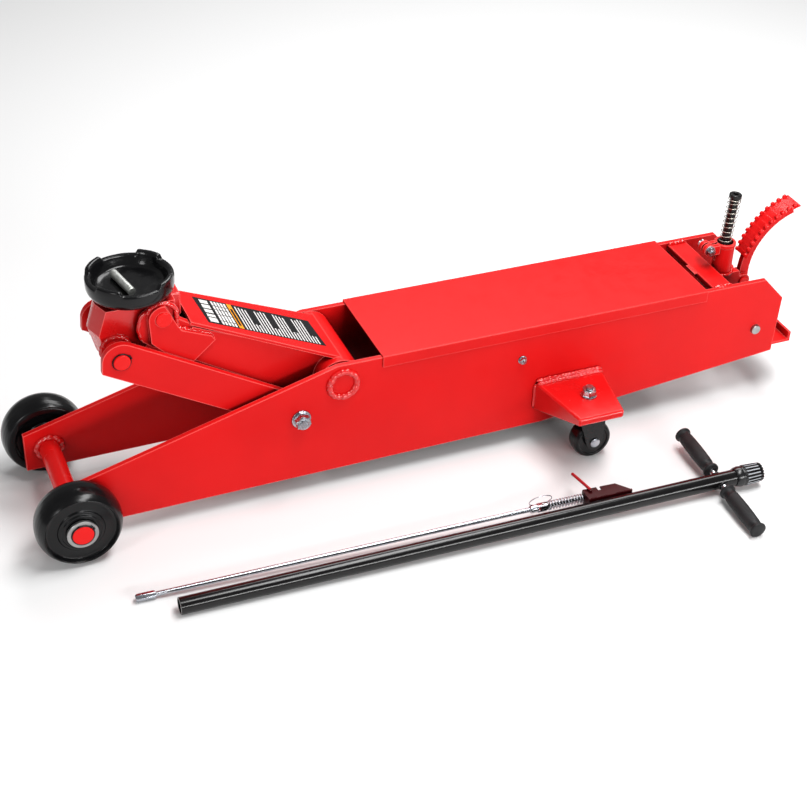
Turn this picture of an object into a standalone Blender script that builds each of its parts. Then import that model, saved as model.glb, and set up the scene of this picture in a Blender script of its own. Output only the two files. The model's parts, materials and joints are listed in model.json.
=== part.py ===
"""Long-chassis hydraulic floor jack, with its lift-off handle lying on the floor beside it.

Units are metres and +Z is up. The drawing frame has the front axle at x = 0, the handle end towards +X,
the middle plane of the chassis at y = 0 and the floor at z = 0. The empty "jack" moves the whole drawing so
that the world origin is the middle of the footprint. Every moving body has an empty on its joint's axis.
"""

import math

import bmesh
import bpy
from mathutils import Matrix, Vector

# Driving dimensions ---------------------------------------------------------------------------------------
GAP = 0.0003  # clearance between touching pieces

PLATE_OUT = 0.0985  # outer face of a side plate, from the middle plane
PLATE_T = 0.010
PLATE_IN = PLATE_OUT - PLATE_T
PLATE_FRONT = -0.0435
PLATE_TOP = 0.2572
PLATE_REAR = 1.3915

WHEEL_R = 0.075
WHEEL_IN = 0.1095
WHEEL_OUT = 0.1669
AXLE_R = 0.0185
AXLE_END = 0.1755

COVER_X = (0.5625, 1.2176)
COVER_T = 0.003
COVER_SKIRT = 0.0228

ARM_PIVOT = Vector((0.489, 0.0, 0.219))
ARM_HEAD = Vector((0.186, 0.0, 0.394))
LINK_PIVOT = Vector((0.411, 0.0, 0.163))
LINK_HEAD = ARM_HEAD + LINK_PIVOT - ARM_PIVOT  # parallelogram: the saddle stays level
ARM_LENGTH = (ARM_HEAD - ARM_PIVOT).length
ARM_SLOPE = math.atan2(ARM_HEAD.z - ARM_PIVOT.z, ARM_PIVOT.x - ARM_HEAD.x)
PIVOT_R = 0.0235
HEAD_PIN_R = 0.0135
LINK_PIN_R = 0.0144
CHEEK_IN = 0.0385
CHEEK_OUT = 0.0625
LINK_Y = (0.066, 0.078)

SADDLE_X = 0.1485
SADDLE_SEAT = 0.4145
SADDLE_R = 0.0735
SADDLE_PIN_R = 0.0072
SADDLE_PIN_TURN = math.radians(11.8)

CRANK_R = 0.110
CRANK_REST = math.radians(10)  # the crank leans this far forward of straight down
CRANK_NOSE = 0.022
RAM_Z = 0.115
ROD_R = 0.0232

CASTER_X = 0.943
CASTER_Y = 0.170
CASTER_TRAIL = 0.012
CASTER_R = 0.038
CASTER_W = 0.032
BRACKET_TOP = 0.134

REAR_SHAFT = Vector((1.340, 0.0, 0.1496))
REAR_SHAFT_R = 0.0095
SOCKET_X = 1.3095
SOCKET_Z = (0.2323, 0.297)
SOCKET_R = 0.0195
SOCKET_BORE = 0.0158
PLUNGER_Z = 0.114
PEDAL_PIN = Vector((1.355, 0.0, 0.207))
PEDAL_CENTRE = (1.490, 0.222)  # centre of the pedal's curve, in x and z
PEDAL_R = (0.120, 0.1395)
RELEASE_FOOT = Vector((1.3049, 0.0, 0.2445))
RELEASE_LEAN = math.radians(4.1)
RELEASE_LENGTH = 0.1535
RELEASE_R = 0.0088

TUBE_START = Vector((0.117, -0.332, 0.0152))
TUBE_LENGTH = 1.038
TUBE_TURN = math.radians(-1.38)
TUBE_RISE = math.radians(0.483)
TUBE_R = 0.0150
TEE_AT = 1.008
TEE_TILT = math.radians(3.2)
TEE_HALF = 0.1405
GRIP_START = 0.0285
LINKAGE_AT = Vector((0.757, 0.0360, 0.0010))
LINKAGE_TURN = (0, math.radians(-0.553), math.radians(-0.944))

# Middle of the footprint: front wheel to pedal tip, and far axle end to near grip end.
FOOTPRINT = Vector((0.6890, -0.1315, 0.0))

RED = (0.80, 0.015, 0.015)
BLACK = (0.012, 0.012, 0.013)
ZINC = (0.62, 0.63, 0.62)
STEEL = (0.45, 0.45, 0.46)
DARK_RED = (0.10, 0.012, 0.012)

PLANES = {
    "XZ": Matrix.Rotation(math.pi / 2, 4, "X"),
    "YZ": Matrix(((0, 0, 1, 0), (1, 0, 0, 0), (0, 1, 0, 0), (0, 0, 0, 1))),
    "XY": Matrix.Identity(4),
}


# Scene and placing ----------------------------------------------------------------------------------------
def clear_scene():
    for old in list(bpy.data.objects):
        bpy.data.objects.remove(old, do_unlink=True)


def new_collection(name, hidden):
    collection = bpy.data.collections.new(name)
    bpy.context.scene.collection.children.link(collection)
    collection.hide_render = hidden
    return collection


clear_scene()
PARTS = new_collection("car_jack", False)
CUTTERS = new_collection("cutters", True)
MATERIALS = {}
BODY_AT = {}


def material(name, colour, roughness, metallic):
    made = bpy.data.materials.new(name)
    made.use_nodes = True
    shader = made.node_tree.nodes["Principled BSDF"]
    shader.inputs["Base Color"].default_value = (*colour, 1.0)
    shader.inputs["Roughness"].default_value = roughness
    shader.inputs["Metallic"].default_value = metallic
    MATERIALS[name] = made


def body(name, at=(0, 0, 0), parent=None, turn=(0, 0, 0)):
    """An empty on a moving body's joint axis, given in the drawing frame."""
    empty = bpy.data.objects.new("body_" + name, None)
    empty.empty_display_size = 0.05
    PARTS.objects.link(empty)
    BODY_AT[name] = Matrix.Translation(Vector(at)) @ euler(turn)
    empty.parent = bpy.data.objects["body_" + parent] if parent else None
    above = BODY_AT[parent].inverted() if parent else Matrix.Translation(-FOOTPRINT)
    empty.matrix_basis = above @ BODY_AT[name]
    return name


def euler(turn):
    made = Matrix.Identity(4)
    for angle, axis in zip(turn, "XYZ"):
        made = Matrix.Rotation(angle, 4, axis) @ made
    return made


def attach(piece, name, body_name, at=(0, 0, 0), turn=(0, 0, 0), finish="red_paint", local=False):
    """Names a piece, gives it its material and puts it on its body. The place is in the drawing frame,
    or in the body's own frame if local is set."""
    piece.name = name
    piece.data.name = name
    piece.data.materials.clear()
    piece.data.materials.append(MATERIALS[finish])
    piece.parent = bpy.data.objects["body_" + body_name]
    home = Matrix.Translation(Vector(at)) @ euler(turn)
    piece.matrix_basis = home if local else BODY_AT[body_name].inverted() @ home
    return piece


# Shapes ---------------------------------------------------------------------------------------------------
def as_object(mesh):
    piece = bpy.data.objects.new("piece", mesh)
    PARTS.objects.link(piece)
    return piece


def smooth(piece, degrees=35):
    piece.data.shade_smooth()
    piece.data.set_sharp_from_angle(angle=math.radians(degrees))
    return piece


def moved(piece, at=(0, 0, 0), turn=(0, 0, 0)):
    """Moves a piece's own mesh, so that its origin stays where it is."""
    piece.data.transform(Matrix.Translation(Vector(at)) @ euler(turn))
    return piece


def box(low, high, bevel=0.0, segments=2):
    """A block between two corners."""
    shape = bmesh.new()
    bmesh.ops.create_cube(shape, size=1.0)
    low, high = Vector(low), Vector(high)
    size = high - low
    bmesh.ops.scale(shape, vec=size, verts=shape.verts)
    bmesh.ops.translate(shape, vec=(low + high) / 2, verts=shape.verts)
    mesh = bpy.data.meshes.new("box")
    shape.to_mesh(mesh)
    shape.free()
    piece = as_object(mesh)
    if bevel:
        round_edges(piece, bevel, segments)
    return piece


def round_edges(piece, width, segments=2, angle=30):
    edge = piece.modifiers.new("edges", "BEVEL")
    edge.width = width
    edge.segments = segments
    edge.limit_method = "ANGLE"
    edge.angle_limit = math.radians(angle)
    return piece


AXIS_TURN = {"X": (0, math.pi / 2, 0), "Y": (-math.pi / 2, 0, 0), "Z": (0, 0, 0)}


def cylinder(radius, start, end, axis="Y", at=(0, 0, 0), sides=24, top_radius=None):
    """A round bar along an axis, from start to end."""
    shape = bmesh.new()
    top = radius if top_radius is None else top_radius
    bmesh.ops.create_cone(
        shape, cap_ends=True, segments=sides, radius1=radius, radius2=top, depth=end - start
    )
    bmesh.ops.translate(shape, vec=(0, 0, (start + end) / 2), verts=shape.verts)
    mesh = bpy.data.meshes.new("cylinder")
    shape.to_mesh(mesh)
    shape.free()
    return smooth(moved(as_object(mesh), at, AXIS_TURN[axis]))


def turned(profile, axis="Y", sides=32, ring=False):
    """A turned shape. The profile is (radius, height) from top to bottom down the outer side."""
    mesh = bpy.data.meshes.new("turned")
    points = [(radius, 0, height) for radius, height in profile]
    edges = [(i, i + 1) for i in range(len(points) - 1)]
    if ring:
        edges.append((len(points) - 1, 0))
    mesh.from_pydata(points, edges, [])
    piece = as_object(mesh)
    screw = piece.modifiers.new("turn", "SCREW")
    screw.steps = screw.render_steps = sides
    screw.use_merge_vertices = True
    screw.merge_threshold = 0.00001
    return smooth(moved(solid(piece), turn=AXIS_TURN[axis]))


def solid(piece):
    """Makes an evaluated mesh object of a curve or of a mesh with modifiers, with its seams welded."""
    bpy.context.view_layer.update()
    seen = piece.evaluated_get(bpy.context.evaluated_depsgraph_get())
    mesh = bpy.data.meshes.new_from_object(seen)
    shape = bmesh.new()
    shape.from_mesh(mesh)
    bmesh.ops.remove_doubles(shape, verts=shape.verts, dist=0.00001)
    bmesh.ops.dissolve_degenerate(shape, dist=0.00001, edges=shape.edges)
    bmesh.ops.recalc_face_normals(shape, faces=shape.faces)
    shape.to_mesh(mesh)
    shape.free()
    made = as_object(mesh)
    made.matrix_world = piece.matrix_world
    bpy.data.objects.remove(piece, do_unlink=True)
    return made


def flat_shape(outlines, start, end, plane="XZ"):
    """Extrudes flat outlines, the first the outside and the rest holes. XZ runs along Y, YZ along X."""
    curve = bpy.data.curves.new("outline", "CURVE")
    curve.dimensions = "2D"
    curve.fill_mode = "BOTH"
    curve.extrude = (end - start) / 2
    for outline in outlines:
        spline = curve.splines.new("POLY")
        spline.points.add(len(outline) - 1)
        for point, (across, up) in zip(spline.points, outline):
            point.co = (across, up, 0, 1)
        spline.use_cyclic_u = True
    piece = bpy.data.objects.new("outline", curve)
    PARTS.objects.link(piece)
    piece = solid(piece)
    middle = (start + end) / 2
    # Local +Z is the extrusion: it lies along -Y after the turn onto the XZ plane.
    along = {"XZ": (0, middle, 0), "YZ": (middle, 0, 0), "XY": (0, 0, middle)}[plane]
    piece.data.transform(Matrix.Translation(along) @ PLANES[plane])
    return smooth(piece)


def tube_along(points, radius, resolution=2, cyclic=False):
    """A round bar or wire along a list of points."""
    curve = bpy.data.curves.new("wire", "CURVE")
    curve.dimensions = "3D"
    curve.bevel_depth = radius
    curve.bevel_resolution = resolution
    curve.use_fill_caps = True
    spline = curve.splines.new("POLY")
    spline.points.add(len(points) - 1)
    for point, place in zip(spline.points, points):
        point.co = (*place, 1)
    spline.use_cyclic_u = cyclic
    spline.use_smooth = True
    piece = bpy.data.objects.new("wire", curve)
    PARTS.objects.link(piece)
    return smooth(solid(piece))


def arc(centre, radius, start, end, count):
    """Points on an arc, in degrees, in the outline's own plane."""
    return [
        (
            centre[0] + radius * math.cos(math.radians(start + (end - start) * i / (count - 1))),
            centre[1] + radius * math.sin(math.radians(start + (end - start) * i / (count - 1))),
        )
        for i in range(count)
    ]


def circle(centre, radius, count=24):
    return arc(centre, radius, 0, 360, count + 1)[:-1]


def hexagon(across_flats):
    return arc((0, 0), across_flats / math.sqrt(3), 30, 330, 6)


def helix(radius, turns, length, per_turn=8, axis="X"):
    """Points of a coil along an axis, from 0 to length."""
    made = []
    for i in range(turns * per_turn + 1):
        angle = 2 * math.pi * i / per_turn
        side, up, along = radius * math.cos(angle), radius * math.sin(angle), length * i / (turns * per_turn)
        made.append((along, side, up) if axis == "X" else (side, up, along))
    return made


def lofted(levels):
    """A solid through flat rings of as many points each, given as (height, ring), from the top down."""
    shape = bmesh.new()
    rings = [[shape.verts.new((x, y, z)) for x, y in points] for z, points in levels]
    count = len(rings[0])
    for upper, lower in zip(rings, rings[1:]):
        for i in range(count):
            j = (i + 1) % count
            shape.faces.new((upper[i], upper[j], lower[j], lower[i]))
    shape.faces.new(rings[0])
    shape.faces.new(rings[-1])
    bmesh.ops.recalc_face_normals(shape, faces=shape.faces)
    mesh = bpy.data.meshes.new("loft")
    shape.to_mesh(mesh)
    shape.free()
    return smooth(as_object(mesh))


def combine(piece, others, operation):
    """Joins others to a piece, or cuts them from it, with exact Booleans."""
    for other in others:
        PARTS.objects.unlink(other)
        CUTTERS.objects.link(other)
        other.hide_render = True
        other.display_type = "WIRE"
        step = piece.modifiers.new(operation.lower(), "BOOLEAN")
        step.operation = operation
        step.object = other
        step.solver = "EXACT"
    made = solid(piece)
    for other in others:
        other.name = "cutter"
    return smooth(made)


def joined(piece, *others):
    return combine(piece, others, "UNION")


def cut(piece, *others):
    return combine(piece, others, "DIFFERENCE")


def sides():
    """The two sides, as someone behind the jack and facing its saddle calls them, and their sign of y."""
    return (("left", -1), ("right", 1))


# Materials ------------------------------------------------------------------------------------------------
material("red_paint", RED, 0.32, 0.0)
material("black_cast", BLACK, 0.30, 0.0)
material("black_paint", BLACK, 0.35, 0.0)
material("black_rubber", (0.02, 0.02, 0.02), 0.75, 0.0)
material("black_plastic", BLACK, 0.30, 0.0)
material("zinc", ZINC, 0.30, 1.0)
material("bright_steel", STEEL, 0.25, 1.0)
material("spring_steel", (0.55, 0.54, 0.50), 0.30, 1.0)
material("maroon_paint", DARK_RED, 0.35, 0.0)


# Chassis --------------------------------------------------------------------------------------------------
def side_plate(name, sign):
    outline = [
        (PLATE_FRONT, 0.107),
        (-0.0430, 0.0318),
        (0.8888, 0.0400),
        (1.3870, 0.0902),
        (PLATE_REAR, 0.2097),
        (1.3470, PLATE_TOP),
        (0.4795, PLATE_TOP),
    ]
    holes = [
        circle((0, WHEEL_R), AXLE_R + GAP, 32),
        circle((ARM_PIVOT.x, ARM_PIVOT.z), PIVOT_R + GAP, 32),
        circle((LINK_PIVOT.x, LINK_PIVOT.z), 0.0083, 16),
        circle((REAR_SHAFT.x, REAR_SHAFT.z), REAR_SHAFT_R + GAP, 20),
    ]
    plate = flat_shape([outline, *holes], -PLATE_T / 2, PLATE_T / 2)
    attach(plate, name, "chassis", (0, sign * (PLATE_IN + PLATE_T / 2), 0))


def top_cover():
    inside = PLATE_OUT + GAP
    outside = inside + COVER_T
    top = PLATE_TOP + GAP + COVER_T
    outline = [
        (-outside, top - COVER_SKIRT),
        (-inside, top - COVER_SKIRT),
        (-inside, top - COVER_T),
        (inside, top - COVER_T),
        (inside, top - COVER_SKIRT),
        (outside, top - COVER_SKIRT),
        (outside, top),
        (-outside, top),
    ]
    cover = flat_shape([outline], 0, COVER_X[1] - COVER_X[0], "YZ")
    attach(cover, "top_cover", "chassis", (COVER_X[0], 0, 0))


def front_axle():
    groove = 0.0015
    end = [
        (0, AXLE_END),
        (AXLE_R - 0.001, AXLE_END),
        (AXLE_R, AXLE_END - 0.001),
        (AXLE_R, AXLE_END - 0.0015),
        (AXLE_R - groove, AXLE_END - 0.0015),
        (AXLE_R - groove, AXLE_END - 0.0028),
        (AXLE_R, AXLE_END - 0.0028),
    ]
    profile = end + [(radius, -height) for radius, height in reversed(end)]
    attach(turned(profile, sides=24), "front_axle", "chassis", (0, 0, WHEEL_R))


def ring(inner, outer, start, end, count=32, axis="Y"):
    """A plain washer, bush or tube."""
    profile = [(outer, end), (outer, start), (inner, start), (inner, end)]
    return turned(profile, axis, count, ring=True)


def arm_pivot_shaft():
    shaft = cylinder(PIVOT_R, -PLATE_OUT - 0.001, PLATE_OUT + 0.001, sides=32)
    attach(round_edges(shaft, 0.0008, 1, 60), "arm_pivot_shaft", "chassis", ARM_PIVOT)


def hex_prism(across_flats, start, end, axis="Y", at=(0, 0, 0)):
    head = flat_shape([hexagon(across_flats)], start, end, "XY")
    return moved(head, at, AXIS_TURN[axis])


def link_bolt(name, sign):
    """Washer, hexagon head and shank, pointing inwards through the plate and the link."""
    washer = cylinder(0.0165, 0.0, 0.0030, sides=24)
    head = hex_prism(0.024, 0.0028, 0.0118)
    shank = cylinder(0.0080, LINK_Y[0] - PLATE_OUT - 0.001, 0.0002, sides=16)
    bolt = joined(washer, head, shank)
    turn = (0, 0, 0) if sign > 0 else (math.pi, 0, 0)
    at = (LINK_PIVOT.x, sign * (PLATE_OUT + GAP), LINK_PIVOT.z)
    attach(bolt, name, "chassis", at, turn, "zinc")


def rear_crossbar():
    half = PLATE_IN - GAP
    bar = box((0, -half, -0.012), (0.0405, half, 0), 0.0012)
    attach(bar, "rear_crossbar", "chassis", (1.2385, 0, 0.2545))


def rear_angle():
    leg = 0.0052
    outline = [(0, 0), (0.0665, 0), (0.0665, 0.0216), (0.0665 - leg, 0.0216), (0.0665 - leg, leg), (0, leg)]
    half = PLATE_IN - GAP
    angle = flat_shape([outline], -half, half)
    attach(angle, "rear_angle", "chassis", (1.370, 0, 0.0943))


def rear_shaft():
    shaft = cylinder(REAR_SHAFT_R, -PLATE_OUT - 0.006, PLATE_OUT + 0.006, sides=20)
    attach(round_edges(shaft, 0.001, 1, 60), "rear_shaft", "chassis", REAR_SHAFT, finish="zinc")


def pump_block():
    half = PLATE_IN - GAP
    block = box((0, -half, -0.045), (0.150, half, 0.065), 0.004)
    bore = cylinder(0.0105, 0.070, 0.160, "X", (0, 0, PLUNGER_Z - RAM_Z), 20)
    attach(cut(solid(block), bore), "pump_block", "chassis", (1.020, 0, RAM_Z))


def ram_cylinder():
    """The ram's cylinder, with its front gland flange, bored for the piston rod."""
    length = 0.3895
    front = 0.0145
    profile = [
        (0.040, length),
        (0.040, front),
        (0.062, front),
        (0.062, 0.0),
        (ROD_R + 0.0005, 0.0),
        (ROD_R + 0.0005, length),
    ]
    barrel = turned(profile, "X", 24, ring=True)
    attach(barrel, "ram_cylinder", "chassis", (0.630, 0, RAM_Z), finish="red_paint")


def reservoir_tank():
    tank = ring(0.0560, 0.0620, 0.0, 0.3745, 24, "X")
    attach(tank, "reservoir_tank", "chassis", (0.6448, 0, RAM_Z))


def release_valve():
    stem = cylinder(0.0065, 0.0, 0.032, "X", sides=16)
    head = hex_prism(0.019, 0.004, 0.014, "X")
    valve = joined(stem, head)
    attach(valve, "release_valve", "chassis", (1.1703, 0.036, 0.150), finish="zinc")


def return_spring(name, sign):
    """Pulls the push block back; it stretches as the ram goes out."""
    start = ram_face() + 0.0300 + 0.0017
    end = 1.0200 - 0.0017
    coil = tube_along(helix(0.0070, 10, end - start, 6), 0.0013, 0)
    attach(coil, name, "chassis", (start, sign * 0.0745, RAM_Z), finish="spring_steel")


def caster_bracket(name, sign):
    """A welded wedge, deep at the side plate and shallow at its outer edge, hollow from below."""
    reach = 0.1355
    wall = 0.008

    def wedge(inset, top, root_depth, tip_depth, near):
        shape = bmesh.new()
        bmesh.ops.create_cube(shape, size=1.0)
        for corner in shape.verts:
            outer = corner.co.y > 0
            upper = corner.co.z > 0
            half = (0.0455 if outer else 0.0690) - inset
            depth = tip_depth if outer else root_depth
            corner.co.x = half * (1 if corner.co.x > 0 else -1)
            corner.co.y = reach - inset if outer else near
            corner.co.z = top if upper else -depth
        mesh = bpy.data.meshes.new("wedge")
        shape.to_mesh(mesh)
        shape.free()
        return as_object(mesh)

    body_shape = solid(round_edges(wedge(0, 0, 0.062, 0.016, 0), 0.004, 2))
    pocket = wedge(wall, -0.010, 0.080, 0.034, -0.01)
    hole = cylinder(0.0063, -0.03, 0.01, "Z", (CASTER_X - 0.9375, CASTER_Y - PLATE_OUT - GAP, 0), 16)
    bracket = cut(body_shape, pocket, hole)
    if sign < 0:
        bracket.data.transform(Matrix.Scale(-1, 4, (0, 1, 0)))
        bracket.data.flip_normals()
    attach(bracket, name, "chassis", (0.9375, sign * (PLATE_OUT + GAP), BRACKET_TOP))


def caster_stud(name, sign):
    """The kingpin: nut and washer on the bracket, shank down through the fork, head inside the fork."""
    washer = cylinder(0.0125, 0.0003, 0.0023, "Z", sides=24)
    nut = hex_prism(0.0190, 0.0021, 0.0121, "Z")
    shank = cylinder(0.0060, -0.040, 0.0175, "Z", sides=16)
    head = cylinder(0.0105, -0.0440, -0.0365, "Z", sides=20)
    stud = joined(washer, nut, shank, head)
    attach(stud, name, "chassis", (CASTER_X, sign * CASTER_Y, BRACKET_TOP), finish="zinc")


# Wheels ---------------------------------------------------------------------------------------------------
def front_wheel(name, sign, body_name):
    """A crowned solid wheel with a dished outer face. Positive heights point away from the chassis."""
    middle = (WHEEL_IN + WHEEL_OUT) / 2
    half = (WHEEL_OUT - WHEEL_IN) / 2
    crown = [
        (0.0640, half),
        (0.0668, half - 0.0012),
        (0.0715, half - 0.0085),
        (0.0740, half - 0.0180),
        (WHEEL_R, 0.0),
        (0.0735, -0.0170),
        (0.0670, -half),
    ]
    hub = [
        (0.0300, -half),
        (0.0300, -half - 0.0085),
        (AXLE_R + GAP, -half - 0.0085),
        (AXLE_R + GAP, half),
        (0.0300, half),
        (0.0330, half - 0.0035),
        (0.0560, half - 0.0035),
        (0.0600, half - 0.0005),
    ]
    wheel = turned(crown + hub, "Y", 28, ring=True)
    turn = (0, 0, 0) if sign > 0 else (math.pi, 0, 0)
    attach(wheel, name, body_name, (0, sign * middle, WHEEL_R), turn, "black_plastic")


def wheel_washer(name, sign):
    start = WHEEL_OUT + GAP
    low, high = (start, AXLE_END - 0.0030) if sign > 0 else (-(AXLE_END - 0.0030), -start)
    attach(ring(AXLE_R + GAP, 0.0270, low, high), name, "chassis", (0, 0, WHEEL_R), finish="zinc")


def caster_fork(name, sign, body_name):
    top = 0.1237
    plate = (0.0985, 0.1045)
    cheek = (CASTER_W / 2 + 0.0008, CASTER_W / 2 + 0.0048)
    hub = cylinder(0.0200, plate[0], top, "Z", sides=24)
    disc = box((-0.026, -cheek[1], plate[0]), (0.030, cheek[1], plate[1]))
    foot = arc((CASTER_TRAIL, CASTER_R), 0.0165, 190, 350, 9)
    outline = [(0.030, plate[1]), (-0.026, plate[1]), *foot]
    cheeks = [flat_shape([outline], *sorted((s * cheek[0], s * cheek[1]))) for s in (1, -1)]
    axle_hole = cylinder(0.0053, -0.05, 0.05, "Y", (CASTER_TRAIL, 0, CASTER_R), 16)
    stud_hole = cylinder(0.0063, 0.05, 0.14, "Z", sides=16)
    fork = cut(joined(disc, hub, *cheeks), axle_hole, stud_hole)
    attach(fork, name, body_name, (CASTER_X, sign * CASTER_Y, 0), finish="black_paint")


def caster_wheel(name, sign, body_name):
    half = CASTER_W / 2
    profile = [
        (0.0335, half),
        (0.0365, half - 0.0040),
        (CASTER_R, 0.0),
        (0.0365, -half + 0.0040),
        (0.0335, -half),
        (0.0053, -half),
        (0.0053, half),
    ]
    wheel = turned(profile, "Y", 28, ring=True)
    at = (CASTER_X + CASTER_TRAIL, sign * CASTER_Y, CASTER_R)
    attach(wheel, name, body_name, at, finish="black_plastic")


def caster_axle(name, sign, body_name):
    face = CASTER_W / 2 + 0.0050
    shank = cylinder(0.0050, -face - 0.001, face + 0.001, sides=16)
    heads = [cylinder(0.0095, *sorted((s * face, s * (face + 0.0036))), sides=20) for s in (1, -1)]
    axle = joined(shank, *heads)
    attach(axle, name, body_name, (CASTER_X + CASTER_TRAIL, sign * CASTER_Y, CASTER_R), finish="zinc")


# Lift arm and its parallel links --------------------------------------------------------------------------
def along_arm(reach, rise):
    """A point in the arm's own plane, as x and z from the arm pivot."""
    c, s = math.cos(ARM_SLOPE), math.sin(ARM_SLOPE)
    return (-reach * c + rise * s, reach * s + rise * c)


def arm_arc(reach, rise, radius, start, end, count):
    """An arc in the arm's own plane. Angles grow from the pivot towards the head and then upwards."""
    return [along_arm(reach + across, rise + up) for across, up in arc((0, 0), radius, start, end, count)]


def along_crank(reach, across):
    """A point in the crank's own plane, as x and z from the arm pivot. Across grows towards the ram."""
    c, s = math.cos(CRANK_REST), math.sin(CRANK_REST)
    return (-reach * s + across * c, -reach * c - across * s)


def lift_arm():
    head = ARM_LENGTH
    crank_foot = along_crank(CRANK_R, 0)
    beam = flat_shape(
        [[along_arm(u, v) for u, v in ((0.292, 0.0), (0.292, -0.056), (-0.012, -0.064), (-0.012, 0.034))]],
        -0.056,
        0.056,
    )
    pocket = flat_shape(
        [[along_arm(u, v) for u, v in ((0.320, 0.05), (0.320, -0.046), (0.180, -0.048), (0.180, 0.05))]],
        -CHEEK_IN,
        CHEEK_IN,
    )
    beam = cut(beam, pocket)
    inner = [
        *arm_arc(head, 0, 0.0230, 115, 12, 9),
        along_arm(0.3787, -0.0073),
        along_arm(0.3811, -0.0162),
        along_arm(0.3736, -0.0390),
        along_arm(0.3588, -0.0547),
        along_arm(0.3390, -0.0580),
        along_arm(0.2600, -0.0540),
        along_arm(0.2600, -0.0020),
        along_arm(0.3000, 0.0035),
        along_arm(0.3205, 0.0045),
    ]
    inners = [flat_shape([inner], *sorted((s * (CHEEK_IN + 0.0005), s * 0.0515))) for s in (1, -1)]
    sheet = ((0.2988, 0.0076), (0.2985, 0.0016), (-0.0080, 0.0330), (-0.0075, 0.0390))
    top = [along_arm(u, v) for u, v in sheet]
    plan_left = [(-0.256, -0.055), (0.0187, -0.0745), (0.0262, -0.0620)]
    plan = plan_left + [(x, -y) for x, y in reversed(plan_left)]
    guard = combine(flat_shape([top], -0.08, 0.08), [flat_shape([plan], -0.1, 0.2, "XY")], "INTERSECT")
    boss = cylinder(0.0400, -0.0850, 0.0850, sides=32)
    cheek = [
        *arm_arc(head, 0, 0.0245, 70, -35, 8),
        along_arm(0.3480, -0.0480),
        along_arm(0.3206, -0.0560),
        along_arm(0.2624, -0.0566),
        along_arm(0.2458, -0.0067),
        along_arm(0.2558, -0.0021),
        along_arm(0.3094, -0.0089),
        along_arm(0.3191, -0.0043),
    ]
    cheeks = [flat_shape([cheek], *sorted((s * 0.0505, s * CHEEK_OUT))) for s in (1, -1)]
    nose = cylinder(CRANK_NOSE, -0.020, 0.020, at=(crank_foot[0], 0, crank_foot[1]), sides=24)
    web_outline = ((0, -0.034), (CRANK_R, -0.0215), (CRANK_R, 0.0100), (0.0450, 0.0120), (0, 0.030))
    web = flat_shape([[along_crank(t, w) for t, w in web_outline]], -0.020, 0.020)
    pivot_bore = cylinder(PIVOT_R + GAP, -0.1, 0.1, sides=32)
    head_at = (ARM_HEAD.x - ARM_PIVOT.x, 0, ARM_HEAD.z - ARM_PIVOT.z)
    head_bore = cylinder(HEAD_PIN_R + GAP, -0.1, 0.1, at=head_at, sides=24)
    arm = cut(joined(beam, guard, boss, *inners, *cheeks, web, nose), pivot_bore, head_bore)
    attach(arm, "lift_arm", "lift_arm", ARM_PIVOT)


def arm_head_pin():
    pin = cylinder(HEAD_PIN_R, -CHEEK_OUT - 0.0030, CHEEK_OUT + 0.0030, sides=24)
    attach(round_edges(pin, 0.0008, 1, 60), "arm_head_pin", "lift_arm", ARM_HEAD)


def link_bar(name, sign, body_name):
    """A flat bar with round ends, from the chassis pivot to the saddle bracket."""
    slope = ARM_SLOPE
    half = 0.0325
    far = ARM_LENGTH
    c, s = math.cos(slope), math.sin(slope)

    def place(reach, rise):
        return (-reach * c + rise * s, reach * s + rise * c)

    head = [place(far + x, y) for x, y in arc((0, 0), half, 90, -20, 10)]
    heel = [place(x, y) for x, y in arc((0, 0), half, 270, 90, 12)]
    corner = [place(far + 0.020, -half)]
    holes = [circle((0, 0), 0.0083, 16), circle(place(far, 0), LINK_PIN_R + GAP, 24)]
    bar = flat_shape([head + corner + heel, *holes], *sorted((sign * LINK_Y[0], sign * LINK_Y[1])))
    attach(bar, name, body_name, LINK_PIVOT)


# Saddle and its bracket -----------------------------------------------------------------------------------
def saddle_bracket():
    """A cast head with a blunt prow, that hangs on the arm's pin and is kept level by the links."""
    top = SADDLE_SEAT - 0.0025 - ARM_HEAD.z
    half = 0.0370
    levels = []
    for height, front in ((top, -0.1000), (-0.0270, -0.1145), (-0.0720, -0.1030), (-0.0920, -0.0880)):
        near = front + 0.0110
        ring = [(front, -0.006), (near, -half), (0.03, -half), (0.03, half), (near, half), (front, 0.006)]
        levels.append((height, ring))
    side = [
        (-0.13, 0.05),
        (-0.13, -0.0900),
        (-0.056, -0.0915),
        (-0.028, -0.064),
        *arc((0, 0), 0.0290, -60, 20, 8),
        (0.0290, 0.05),
    ]
    block = combine(lofted(levels), [flat_shape([side], -0.06, 0.06)], "INTERSECT")
    tongue = box((-0.03, -0.018, -0.0250), (0.0420, 0.018, top), 0.002, 1)
    saddle_at = SADDLE_X - ARM_HEAD.x
    link_at = (LINK_HEAD.x - ARM_HEAD.x, 0, LINK_HEAD.z - ARM_HEAD.z)
    seat = cylinder(0.0360, top - 0.003, top + 0.0025, "Z", (saddle_at, 0, 0), 32)
    boss = cylinder(0.0215, -LINK_Y[0] + GAP, LINK_Y[0] - GAP, at=link_at, sides=28)
    stem_bore = cylinder(0.0150, top - 0.056, top + 0.01, "Z", (saddle_at, 0, 0), 24)
    link_bore = cylinder(LINK_PIN_R + GAP, -0.1, 0.1, at=link_at, sides=24)
    head_bore = cylinder(HEAD_PIN_R + GAP, -0.1, 0.1, sides=24)
    bracket = cut(joined(block, solid(tongue), seat, boss), stem_bore, link_bore, head_bore)
    attach(bracket, "saddle_bracket", "saddle_bracket", ARM_HEAD)


def link_pin():
    end = LINK_Y[1] + 0.0050
    pin = cylinder(LINK_PIN_R, -end, end, sides=24)
    attach(round_edges(pin, 0.001, 1, 60), "link_pin", "saddle_bracket", LINK_HEAD)


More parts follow.
